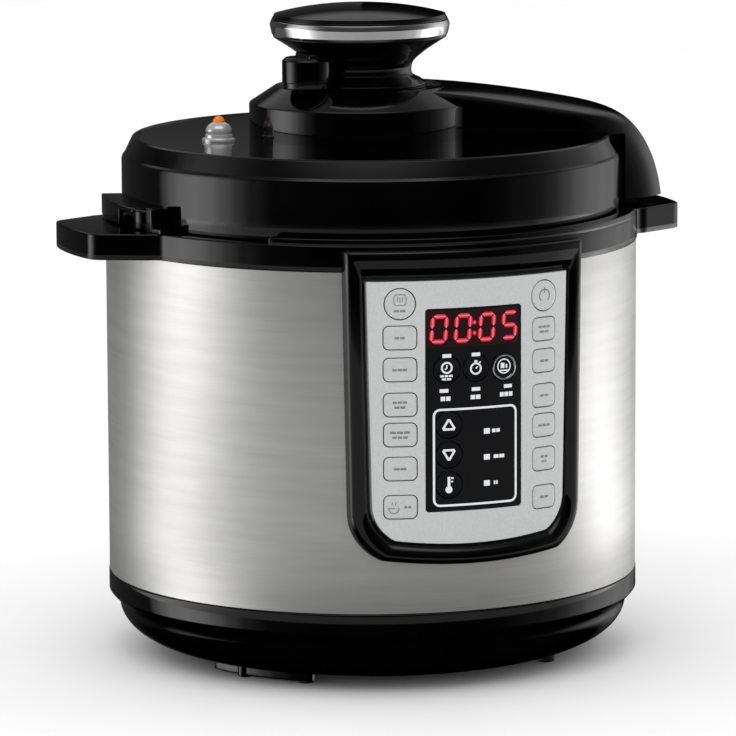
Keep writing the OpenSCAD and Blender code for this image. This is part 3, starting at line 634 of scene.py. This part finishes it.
def rounded_copy(name, node, material):
    """A node's own surface again, shaded as the true round face it is cut from."""
    me = NODES[node].data.copy()
    me.name = name
    o = bpy.data.objects.new(name, me)
    o.matrix_world = NODES[node].matrix_world
    bpy.context.scene.collection.objects.link(o)
    me.materials.clear()
    me.materials.append(M[material])
    normals = [None] * len(me.loops)
    for face in me.polygons:
        for i in face.loop_indices:
            p = me.vertices[me.loops[i].vertex_index].co
            radial = Vector((p.x, p.y, 0)).normalized()
            normals[i] = radial if abs(face.normal.dot(radial)) > 0.97 else face.normal.copy()
            if normals[i] is radial and face.normal.dot(radial) < 0:
                normals[i] = -radial
    me.normals_split_custom_set(normals)
    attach(o, "base")
    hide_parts(node)
    return o


rounded_copy("front_plate", "faceplate", "silver_panel")
rounded_copy("front_window", "display_window", "display_black")


# ---------- control panel ----------


def panel_outline(top, low, z0, z1, corner, top_corner):
    """The panel's outline from the front, starting at the middle of the top, 160 points."""
    bow = 6 * low
    left = [(x, z1) for x in np.linspace(0, -top + top_corner, 14)]
    left += arc_points(-top + top_corner, z1 - top_corner, top_corner, 90, 180, 8)[1:]
    side_low = z0 + corner
    left += [(-top + (top - low) * t, z1 - top_corner - (z1 - top_corner - side_low) * t)
             for t in np.linspace(0, 1, 26)[1:]]
    corner_arc = arc_points(-low + corner, z0 + corner, corner, 180, 270, 20)
    left += corner_arc[1:]
    left += [(x, z0) for x in np.linspace(-low + corner, 0, 14)[1:]]
    left = [(x, max(z, z0 + bow - math.sqrt(bow * bow - x * x))) for x, z in left]
    return left + [(-x, z) for x, z in reversed(left[1:-1])]


def panel_loop(outline, r):
    return [on_front(x, z, r) for x, z in outline]


def between(a, b, t):
    return [(p[0] + (q[0] - p[0]) * t, p[1] + (q[1] - p[1]) * t) for p, q in zip(a, b)]


outer = panel_outline(67, 65, 72, 239, 28, 1.2)
inner = panel_outline(56.9, 54.6, 82.6, 223.1, 22.4, 1.2)
# the frame's section: how far from its outer to its inner outline, and the radius
section = [(0, 145.2), (0, 148.4), (0.012, 149.6), (0.045, 150.6), (0.1, 151.2), (0.17, 151.45),
           (0.28, 151.5), (0.4, 151.42), (0.52, 151.15), (0.63, 150.65), (0.73, 149.95), (0.81, 149.1),
           (0.87, 148.2), (0.9, 147.6), (0.92, 147.1), (0.94, 146.9), (1.0, 146.9), (1.0, 145.2)]
loops = [panel_loop(between(outer, inner, t), r) for t, r in section]
verts, faces = loft_mesh(loops, False, False)
clean(make("panel_bezel", verts, faces, "gloss_black", "base", ["panel_frame"], sharp=50))


def on_key(az, z, u, v, r):
    """A point of a key centred at angle az and height z, u across and v up, on radius r."""
    a = math.radians(az)
    d = math.sqrt(r * r - u * u)
    return u * math.cos(a) + d * math.sin(a), u * math.sin(a) - d * math.cos(a), z + v


def pad_mesh(az, z, w, h, corner, profile):
    """A rounded pad: loops inset by d at radius r, closed at the front."""
    loops = []
    for d, r in profile:
        pts = round_rect_points(w - 2 * d, h - 2 * d, max(0.3, corner - d))
        loops.append([on_key(az, z, u, v, r) for u, v in pts])
    d, r = profile[-1]
    for k in (0.66, 0.33):
        pts = round_rect_points(w - 2 * d, h - 2 * d, max(0.3, corner - d))
        loops.append([on_key(az, z, u * k, v * k, r + (0.12 * (1 - k * k))) for u, v in pts])
    return loft_mesh(loops)


def stroke(points, width, closed=False):
    """A flat line of even width along (u, v) points, as a list of quads in (u, v)."""
    pts = [Vector(p) for p in points]
    n = len(pts)
    left, right = [], []
    for i in range(n):
        a = pts[i - 1] if (i or closed) else pts[i]
        b = pts[(i + 1) % n] if (i < n - 1 or closed) else pts[i]
        d = (b - a).normalized()
        k = 1.0
        if 0 < i < n - 1 or closed:
            d0, d1 = (pts[i] - pts[i - 1]), (pts[(i + 1) % n] - pts[i])
            if d0.length > 1e-9 and d1.length > 1e-9:
                k = 1 / max(0.5, math.cos(d0.angle(d1) / 2))
        s = Vector((-d.y, d.x)) * width / 2 * k
        left.append(pts[i] + s)
        right.append(pts[i] - s)
    last = n if closed else n - 1
    return [[left[i], left[(i + 1) % n], right[(i + 1) % n], right[i]] for i in range(last)]


def bar(u0, v0, u1, v1):
    """A filled rectangle in short pieces, so that it can follow the curve."""
    n = max(1, int(abs(u1 - u0) / 1.5))
    us = np.linspace(u0, u1, n + 1)
    return [[Vector((a, v0)), Vector((b, v0)), Vector((b, v1)), Vector((a, v1))] for a, b in zip(us, us[1:])]


def circle_points(u, v, r, n=24, a0=0, a1=360):
    return [(u + r * math.cos(math.radians(a)), v + r * math.sin(math.radians(a)))
            for a in np.linspace(a0, a1, n, endpoint=a1 - a0 < 360)]


def disc(u, v, r, n=20):
    return [[Vector(p) for p in circle_points(u, v, r, n)]]


def print_mesh(az, z, polys, r, lift=0.06):
    """Printed shapes as thin raised plates on radius r about the key at az, z."""
    verts, faces = [], []
    for poly in polys:
        start, n = len(verts), len(poly)
        verts += [on_key(az, z, p[0], p[1], r) for p in poly]
        verts += [on_key(az, z, p[0], p[1], r + lift) for p in poly]
        faces.append(list(range(start, start + n)))
        faces.append([start + n + i for i in range(n)])
        faces += [[start + i, start + (i + 1) % n, start + n + (i + 1) % n, start + n + i] for i in range(n)]
    return verts, faces


def caption(width, lines, gap=2.6, height=1.3, v=0.0, u=0.0):
    """Short bars in place of words."""
    polys = []
    for i in range(lines):
        w = width * (1 - 0.22 * ((i * 7 + int(width * 3)) % 3))
        mid = v + (lines - 1) * gap / 2 - i * gap
        parts = 3 if w > 7 else 2
        edges = np.linspace(-w / 2, w / 2, parts * 4 + 1)
        for k in range(parts):
            a, b = edges[k * 4], edges[k * 4 + 4] - 0.45
            polys += bar(u + a, mid - height / 2, u + b, mid + height / 2)
    return polys


def piece(name, meshes, body, slot, nodes=()):
    """One object from (mesh, material) pairs."""
    verts, faces, slots = [], [], []
    used = []
    for (v, f), material in meshes:
        if material not in used:
            used.append(material)
        start = len(verts)
        verts += v
        faces += [[i + start for i in face] for face in f]
        slots += [used.index(material)] * len(f)
    o = make(name, verts, faces, used[0], body, nodes, slot)
    for material in used[1:]:
        o.data.materials.append(M[material])
    o.data.polygons.foreach_set("material_index", slots)
    o.data.update()
    return clean(o)


KEY_TOP_R, WINDOW_R, DIGIT_R = 149.44, 148.68, 148.72
DISH_R, RING_R = 148.6, 148.72
KEY_ROWS = [211, 193.2, 176.4, 157.9, 142, 124, 103.7]
# key profiles: how far inside the key's outline, and the radius
CAP = [(0.45, 146.4), (0.2, 147.2), (0.2, 149.0), (0.3, 149.2), (0.5, 149.32), (0.9, 149.38), (1.5, 149.4),
       (2.4, 149.4)]
LEFT_CAPTIONS = [None, (6.0, 1), (10.5, 1), (8.0, 2), (11.0, 2), (7.0, 1), None]
RIGHT_CAPTIONS = [None, (8.0, 2), (7.5, 1), (7.5, 1), (8.0, 1), (6.5, 2), (7.5, 1)]


def icon_ring(u, v, r, w):
    return stroke(circle_points(u, v, r), w, True)


def side_icon(left, row):
    """The mark on a side key: a generic icon at the ends of the columns, bars elsewhere."""
    if left and row == 0:
        frame_box = stroke(round_rect_points(6.4, 5.6, 1.6), 0.55, True)
        frame_box = [[Vector((p.x, p.y + 2.2)) for p in q] for q in frame_box]
        prongs = []
        for u, low in ((-1.3, 1.2), (0, 0.8), (1.3, 1.2)):
            prongs += stroke([(u, 3.6), (u, low)], 0.5)
        return frame_box + prongs + caption(8.6, 1, v=-3.6)
    if not left and row == 0:
        return stroke(circle_points(0, 0, 3.3, 22, -50, 230), 0.75) + stroke([(0, 1.4), (0, 4.4)], 0.75)
    if left and row == 6:
        bowl_icon = stroke(circle_points(-3.6, -0.6, 2.7, 14, 180, 360), 0.55)
        bowl_icon += stroke([(-6.6, -0.6), (-0.6, -0.6)], 0.55)
        steam = stroke([(-4.6, 0.8), (-4.2, 2.8)], 0.5) + stroke([(-2.8, 0.8), (-2.4, 2.8)], 0.5)
        return bowl_icon + steam + caption(5.4, 1, u=4.0)
    width, lines = (LEFT_CAPTIONS if left else RIGHT_CAPTIONS)[row]
    return caption(width, lines)


LEFT_KEY_AZ, RIGHT_KEY_AZ = -15.6, 16.2
PRINT_LIFT = 0.08
for left in (True, False):
    az = LEFT_KEY_AZ if left else RIGHT_KEY_AZ
    side = "left" if left else "right"
    for row, z in enumerate(KEY_ROWS):
        node = f"key_{side}_{row + 1}"
        w, h, corner = (16.4, 16.4, 8.1) if row == 0 else (17.6 if left else 15.0, 12.4, 3.0)
        cap = pad_mesh(az, z, w, h, corner, CAP)
        ink = print_mesh(az, z, side_icon(left, row), KEY_TOP_R, PRINT_LIFT)
        parts = [(cap, "key_silver"), (ink, "caption_grey")]
        piece(f"{node}_cap", parts, f"{node}_body", "key_silver", [node])

DISH = [(0.25, 145.4), (0, 146.4), (0, 148.5), (0.12, 148.64), (0.4, 148.74), (0.75, 148.74), (1.2, 148.68),
        (1.9, 148.62), (3.0, 148.58), (4.2, 148.56)]
RING = [(0.1, 145.4), (0, 146.4), (0, 148.8), (0.15, 149.05), (0.45, 149.1), (0.95, 149.1), (1.15, 149.0),
        (1.25, 148.75), (1.6, 148.7), (3.0, 148.7)]

HOOP = [(1.3, 148.6), (1.25, 148.98), (1.1, 149.12), (0.8, 149.16), (0.3, 149.16), (0.05, 149.0),
        (0.0, 148.6)]


def triangle(up):
    s = 1 if up else -1
    pts = [(-3.3, -2.4 * s), (3.3, -2.4 * s), (0, 3.0 * s)]
    outline = []
    for i in range(3):
        a, b = Vector(pts[i]), Vector(pts[(i + 1) % 3])
        outline += [a.lerp(b, t) for t in (0.08, 0.35, 0.65, 0.92)]
    return stroke([tuple(p) for p in outline], 1.15, True)


def clock(hand):
    face = icon_ring(0, 0.8, 2.7, 0.95)
    return face + stroke([(0, 2.3), (0, 0.7), (-0.95, -0.1)] if hand else [(0, 0.8), (1.0, 1.8)], 0.75)


def window_icon(kind):
    if kind == "delay":
        return clock(True) + caption(7.2, 2, 1.7, 1.1, v=-4.4)
    if kind == "timer":
        watch = icon_ring(0, -0.4, 2.8, 0.95) + stroke([(0, -0.4), (1.0, 0.7)], 0.75)
        return watch + bar(-0.9, 3.0, 0.9, 4.0) + stroke([(2.0, 2.6), (2.7, 3.2)], 0.8)
    if kind == "light":
        shelf = bar(-2.0, -0.6, 0.2, 2.2) + bar(0.9, -0.6, 1.9, 1.4) + bar(-3.0, -2.2, 3.0, -1.5)
        return icon_ring(0, 0.4, 3.7, 0.6) + shelf
    if kind == "heat":
        stem = stroke([(0, -1.2), (0, 4.2)], 1.5) + disc(0, -2.6, 1.9)
        return stem + bar(1.2, 3.0, 2.6, 3.9) + bar(1.2, 1.2, 2.2, 2.0)
    return triangle(kind == "up")


for kind, az, z in (("delay", -6, 175.8), ("timer", 0.2, 175.8), ("light", 6.5, 175.2), ("up", -5.6, 146.4),
                    ("down", -5.6, 130.5), ("heat", -5.6, 114.6)):
    ringed = kind == "light"
    cap = pad_mesh(az, z, 14.4, 14.4, 7.19, RING if ringed else DISH)
    ink = print_mesh(az, z, window_icon(kind), RING_R if ringed else DISH_R, 0.1)
    # the white icons shine with a painted glow from their print material
    parts = [(cap, "display_black"), (ink, "print_white")]
    if ringed:
        verts, faces = pad_mesh(az, z, 14.2, 14.2, 7.0, HOOP)
        band = [f for f in faces if len(f) == 4 and max(f) < len(HOOP) * 24]
        parts.append(((verts, band), "chrome"))
    piece(f"key_{kind}_cap", parts, f"key_{kind}_body", "display_black", [f"key_{kind}"])

# printed marks on the window, shining with a painted glow
marks = []
for az, z in ((-6.0, 182.9), (0.2, 182.9), (-6.6, 164.5), (0.2, 164.6), (7.4, 164.9)):
    marks.append(print_mesh(az, z, bar(-2.4, -0.95, 2.4, 0.95), WINDOW_R, PRINT_LIFT))
for az, z, w in ((-6.2, 160.3, 7.4), (0.2, 160.4, 7.6), (7.1, 160.7, 8.0)):
    marks.append(print_mesh(az, z, caption(w, 1, height=2.3), WINDOW_R, PRINT_LIFT))
for az, z, w in ((2.6, 141.9, 5.0), (2.6, 128.1, 8.6), (2.6, 114.2, 4.8)):
    marks.append(print_mesh(az, z, bar(-1.7, -1.45, 1.7, 1.45), WINDOW_R, PRINT_LIFT))
    marks.append(print_mesh(az, z, caption(w, 1, height=1.9, u=3.0 + w / 2), WINDOW_R, PRINT_LIFT))
FIELD_AZ, FIELD_Z, FIELD_H, FIELD_TURN = 0.25, 129.05, 50.9, 17.9
width = FIELD_TURN * 148.7 * math.pi / 180
box_points = []
corners = round_rect_points(width, FIELD_H, 3.2, 5)
for i, p in enumerate(corners):
    q = Vector(corners[(i + 1) % len(corners)])
    a = Vector(p)
    count = max(1, int((q - a).length / 3))
    box_points += [tuple(a.lerp(q, k / count)) for k in range(count)]
marks.append(print_mesh(FIELD_AZ, FIELD_Z, stroke(box_points, 1.15, True), WINDOW_R, PRINT_LIFT))
verts, faces = join(*marks)
clean(make("window_print", verts, faces, "print_white", "base", slot="display_black"))

# lamp digits, and a painted glow of their light spread over the window
SEGMENTS = {"a": ((-1, 2), (1, 2)), "b": ((1, 2), (1, 0)), "c": ((1, 0), (1, -2)), "d": ((-1, -2), (1, -2)),
            "e": ((-1, 0), (-1, -2)), "f": ((-1, 2), (-1, 0)), "g": ((-1, 0), (1, 0))}
DIGITS = {"0": "abcdef", "5": "afgcd"}
DIGIT_Z, DIGIT_HALF_W, DIGIT_QUARTER_H = 197.2, 3.75, 3.3
SEGMENT_GAP, DIGIT_SLANT = 0.35, 0.08


def digit(char, thick):
    polys = []
    for name in DIGITS[char]:
        (x0, z0), (x1, z1) = SEGMENTS[name]
        a = Vector((x0 * DIGIT_HALF_W, z0 * DIGIT_QUARTER_H))
        b = Vector((x1 * DIGIT_HALF_W, z1 * DIGIT_QUARTER_H))
        d = (b - a).normalized()
        s = Vector((-d.y, d.x)) * thick / 2
        a, b = a + d * SEGMENT_GAP, b - d * SEGMENT_GAP
        start, end = a + d * thick / 2, b - d * thick / 2
        pts = [a, start + s, end + s, b, end - s, start - s]
        polys.append([Vector((p.x + DIGIT_SLANT * p.y, p.y)) for p in pts])
    return polys


CORE_R = DIGIT_R + 0.06
red, core = [], []
for char, az in (("0", -7.6), ("0", -2.55), ("0", 2.65), ("5", 7.8)):
    red.append(print_mesh(az, DIGIT_Z, digit(char, 2.4), DIGIT_R, 0.05))
    core.append(print_mesh(az, DIGIT_Z, digit(char, 0.9), CORE_R, 0.04))
for z in (199.9, 194.3):
    red.append(print_mesh(-0.1, z, disc(0, 0, 1.15), DIGIT_R, 0.05))
    core.append(print_mesh(-0.1, z, disc(0, 0, 0.5), CORE_R, 0.04))
# a faint emissive sheet behind the digits: their light spread over the window, painted
haze = [print_mesh(-0.3, DIGIT_Z, bar(-26, -9.6, 26, 9.6), DIGIT_R - 0.03, 0.02)]
for name, group, material in (("digit_painted_glow", haze, "lamp_haze"), ("digit_glow", red, "lamp_red"),
                              ("digit_core", core, "lamp_core")):
    verts, faces = join(*group)
    clean(make(name, verts, faces, material, "base", slot="display_black"))


# ---------- floor, light and camera ----------


def stage_disc(name, radius, z, dark, light):
    me = bpy.data.meshes.new(name)
    n = 96
    me.from_pydata([(radius * math.cos(2 * math.pi * i / n), radius * math.sin(2 * math.pi * i / n), z)
                    for i in range(n)], [], [list(range(n))])
    o = bpy.data.objects.new(name, me)
    bpy.context.scene.collection.objects.link(o)
    m, tree, shader = new_material(name + "_paper")
    grain = noise(tree, 6, 3.0)
    tree.links.new(tint(tree, spread(tree, grain, 0, 1), dark, light), shader.inputs["Base Color"])
    tree.links.new(spread(tree, grain, 0.75, 0.9), shader.inputs["Roughness"])
    shader.inputs["Specular IOR Level"].default_value = 0.1
    me.materials.append(m)
    return o


floor = stage_disc("floor", 12, 0, (0.9, 0.9, 0.9), (0.93, 0.93, 0.93))
floor.visible_glossy = False

world = bpy.data.worlds.new("studio")
bpy.context.scene.world = world
world.use_nodes = True
wt = world.node_tree
wt.nodes.clear()


def math_node(tree, operation, *inputs):
    n = tree.nodes.new("ShaderNodeMath")
    n.operation = operation
    for i, v in enumerate(inputs):
        if isinstance(v, (int, float)):
            n.inputs[i].default_value = v
        else:
            tree.links.new(v, n.inputs[i])
    return n.outputs[0]


def ramp(tree, value, stops):
    """A grey ramp from (position, brightness) stops."""
    n = tree.nodes.new("ShaderNodeValToRGB")
    n.color_ramp.interpolation = "EASE"
    els = n.color_ramp.elements
    while len(els) < len(stops):
        els.new(0.5)
    for e, (pos, v) in zip(els, stops):
        e.position = pos
        e.color = (v, v, v, 1)
    tree.links.new(value, n.inputs[0])
    return n.outputs[0]


def studio_turn(tree, output):
    """The angle about Z from the studio's front, a whole turn as 0 to 1, and the height of a coordinate."""
    split = tree.nodes.new("ShaderNodeSeparateXYZ")
    tree.links.new(tree.nodes.new("ShaderNodeTexCoord").outputs[output], split.inputs[0])
    c, s = math.cos(math.radians(CAMERA_AZ)), math.sin(math.radians(CAMERA_AZ))
    x, y, z = split.outputs
    to_right = math_node(tree, "ADD", math_node(tree, "MULTIPLY", x, c), math_node(tree, "MULTIPLY", y, s))
    to_front = math_node(tree, "ADD", math_node(tree, "MULTIPLY", x, s), math_node(tree, "MULTIPLY", y, -c))
    angle = math_node(tree, "ARCTAN2", to_right, to_front)
    return math_node(tree, "MULTIPLY_ADD", angle, 1 / (2 * math.pi), 0.5), z


turn, rise = studio_turn(wt, "Generated")
height = math_node(wt, "MULTIPLY_ADD", rise, 0.5, 0.5)


def deg(values):
    return [((a + 180) / 360, v) for a, v in values]


def elev(values):
    return [((math.sin(math.radians(a)) + 1) / 2, v) for a, v in values]


# the painted studio: brightness by the angle from the camera's side and by elevation
LEFT_BOX, RIGHT_BOX, FRONT_BOX = 3.0, 1.35, 1.6
left_box = ramp(wt, turn, deg([(-114, 0.02), (-109, 0.24), (-104, 0.5), (-97, 0.8), (-88, 1), (-79, 0.9),
                               (-71, 0.56), (-63, 0.25), (-56, 0.08), (-44, 0.01), (-20, 0)]))
right_box = ramp(wt, turn, deg([(52, 0), (75, 0.08), (83, 0.14), (92, 0.28), (101, 0.58), (110, 0.93),
                                (120, 1), (130, 0.85), (145, 0.5), (158, 0.2), (170, 0)]))
box_height = ramp(wt, height, elev([(-29, 0), (-15, 1), (6, 1), (24, 0.3), (44, 0.05), (60, 0)]))
ceiling = ramp(wt, height, elev([(-5, 0), (12, 0.005), (35, 0.06), (60, 0.22), (90, 0.3)]))
front_box = ramp(wt, turn, deg([(-80, 0), (-50, 1), (50, 1), (80, 0)]))
front_height = ramp(wt, height, elev([(42, 0), (56, 0.7), (68, 1), (84, 0.3), (90, 0)]))
rear_box = ramp(wt, turn, deg([(-140, 1), (-105, 0), (105, 0), (140, 1)]))
rear_height = ramp(wt, height, elev([(19, 0), (29, 0.5), (42, 0.45), (56, 0.08), (64, 0)]))
left_light = math_node(wt, "MULTIPLY", left_box, LEFT_BOX)
right_light = math_node(wt, "MULTIPLY", right_box, RIGHT_BOX)
sides = math_node(wt, "ADD", left_light, right_light)
glossy = math_node(wt, "ADD", math_node(wt, "MULTIPLY", sides, box_height), ceiling)
front = math_node(wt, "MULTIPLY", math_node(wt, "MULTIPLY", front_box, front_height), FRONT_BOX)
glossy = math_node(wt, "ADD", glossy, front)
glossy = math_node(wt, "ADD", glossy, math_node(wt, "MULTIPLY", rear_box, rear_height))
path = wt.nodes.new("ShaderNodeLightPath")
studio, ambient = wt.nodes.new("ShaderNodeBackground"), wt.nodes.new("ShaderNodeBackground")
wt.links.new(glossy, studio.inputs["Strength"])
ambient.inputs["Color"].default_value = (1, 1, 1, 1)
ambient.inputs["Strength"].default_value = 1.12
mix = wt.nodes.new("ShaderNodeMixShader")
wt.links.new(path.outputs["Is Glossy Ray"], mix.inputs[0])
wt.links.new(ambient.outputs[0], mix.inputs[1])
wt.links.new(studio.outputs[0], mix.inputs[2])
out = wt.nodes.new("ShaderNodeOutputWorld")
wt.links.new(mix.outputs[0], out.inputs[0])

# a table that only reflections see, in two rings: the inner one shows in the steel, the outer one in the lid
STEEL_CARD = [(-170, 0.02), (-114, 0.03), (-109, 0.13), (-104, 0.28), (-97, 0.5), (-88, 0.66), (-79, 0.63),
              (-71, 0.45), (-63, 0.28), (-56, 0.19), (-44, 0.15), (-20, 0.13), (0, 0.125), (50, 0.13),
              (75, 0.17), (84, 0.28), (92, 0.48), (100, 0.86), (108, 1), (114, 0.82), (122, 0.5), (130, 0.28),
              (145, 0.12), (158, 0.05), (170, 0)]
LID_CARD = [(-114, 0.03), (-109, 0.24), (-104, 0.49), (-97, 0.8), (-88, 1), (-79, 0.95), (-71, 0.62),
            (-63, 0.3), (-56, 0.1), (-44, 0.03), (-20, 0.01), (50, 0.02), (75, 0.1), (84, 0.24), (92, 0.36),
            (100, 0.62), (110, 0.82), (120, 0.8), (130, 0.6), (145, 0.26), (158, 0.1), (170, 0)]
CARD_STRENGTH, RIM_STEPS, TABLE_Z = 2.75, 96, -0.0006
RINGS = (("table_inner", 0.43, 1.4, STEEL_CARD), ("table_outer", 1.4, 1.6, LID_CARD))
for ring, inner_r, outer_r, card in RINGS:
    me = bpy.data.meshes.new(ring)
    angles = [2 * math.pi * i / RIM_STEPS for i in range(RIM_STEPS)]
    rim = [(r * math.sin(a), -r * math.cos(a), TABLE_Z) for r in (inner_r, outer_r) for a in angles]
    nexts = [(i, (i + 1) % RIM_STEPS) for i in range(RIM_STEPS)]
    me.from_pydata(rim, [], [[i, j, RIM_STEPS + j, RIM_STEPS + i] for i, j in nexts])
    table = bpy.data.objects.new(ring, me)
    bpy.context.scene.collection.objects.link(table)
    glow, gt, shader = new_material(ring + "_card")
    around, _ = studio_turn(gt, "Object")
    strength = math_node(gt, "MULTIPLY", ramp(gt, around, deg(card)), CARD_STRENGTH)
    gt.links.new(strength, shader.inputs["Emission Strength"])
    shader.inputs["Emission Color"].default_value = (1, 1, 1, 1)
    cloth = tint(gt, spread(gt, noise(gt, 6), 0, 1), (0, 0, 0), (0.002, 0.002, 0.002))
    gt.links.new(cloth, shader.inputs["Base Color"])
    me.materials.append(glow)
    for flag in ("visible_camera", "visible_diffuse", "visible_shadow", "visible_transmission"):
        setattr(table, flag, False)

lamp = bpy.data.lights.new("key_light", "AREA")
lamp.energy = 9
lamp.size = 1.4
key = bpy.data.objects.new("key_light", lamp)
bpy.context.scene.collection.objects.link(key)
key.location = (-0.9, -1.4, 2.0)
key.rotation_euler = (Vector((0, 0, 0.15)) - key.location).to_track_quat("-Z", "Y").to_euler()
key.visible_glossy = False

cam_data = bpy.data.cameras.new("camera")
cam_data.lens = 252.9
cam_data.sensor_width = 36
camera = bpy.data.objects.new("camera", cam_data)
bpy.context.scene.collection.objects.link(camera)
CAMERA_EL, CAMERA_DISTANCE, CAMERA_ROLL = 8.932, 2.8426, -0.26
AIM_RIGHT, AIM_Z = -0.00191, 0.1542
az, el, roll = math.radians(CAMERA_AZ), math.radians(CAMERA_EL), math.radians(CAMERA_ROLL)
back = Vector((math.sin(az) * math.cos(el), -math.cos(az) * math.cos(el), math.sin(el)))
right = Vector((math.cos(az), math.sin(az), 0))
up = back.cross(right)
cam_x = right * math.cos(roll) + up * math.sin(roll)
cam_y = back.cross(cam_x)
target = right * AIM_RIGHT + Vector((0, 0, AIM_Z))
rotation = camera.matrix_world.to_3x3()
for row in range(3):
    rotation[row][0], rotation[row][1], rotation[row][2] = cam_x[row], cam_y[row], back[row]
camera.matrix_world = rotation.to_4x4()
camera.location = target + back * CAMERA_DISTANCE
bpy.context.scene.camera = camera
bpy.context.scene.view_settings.view_transform = "Standard"
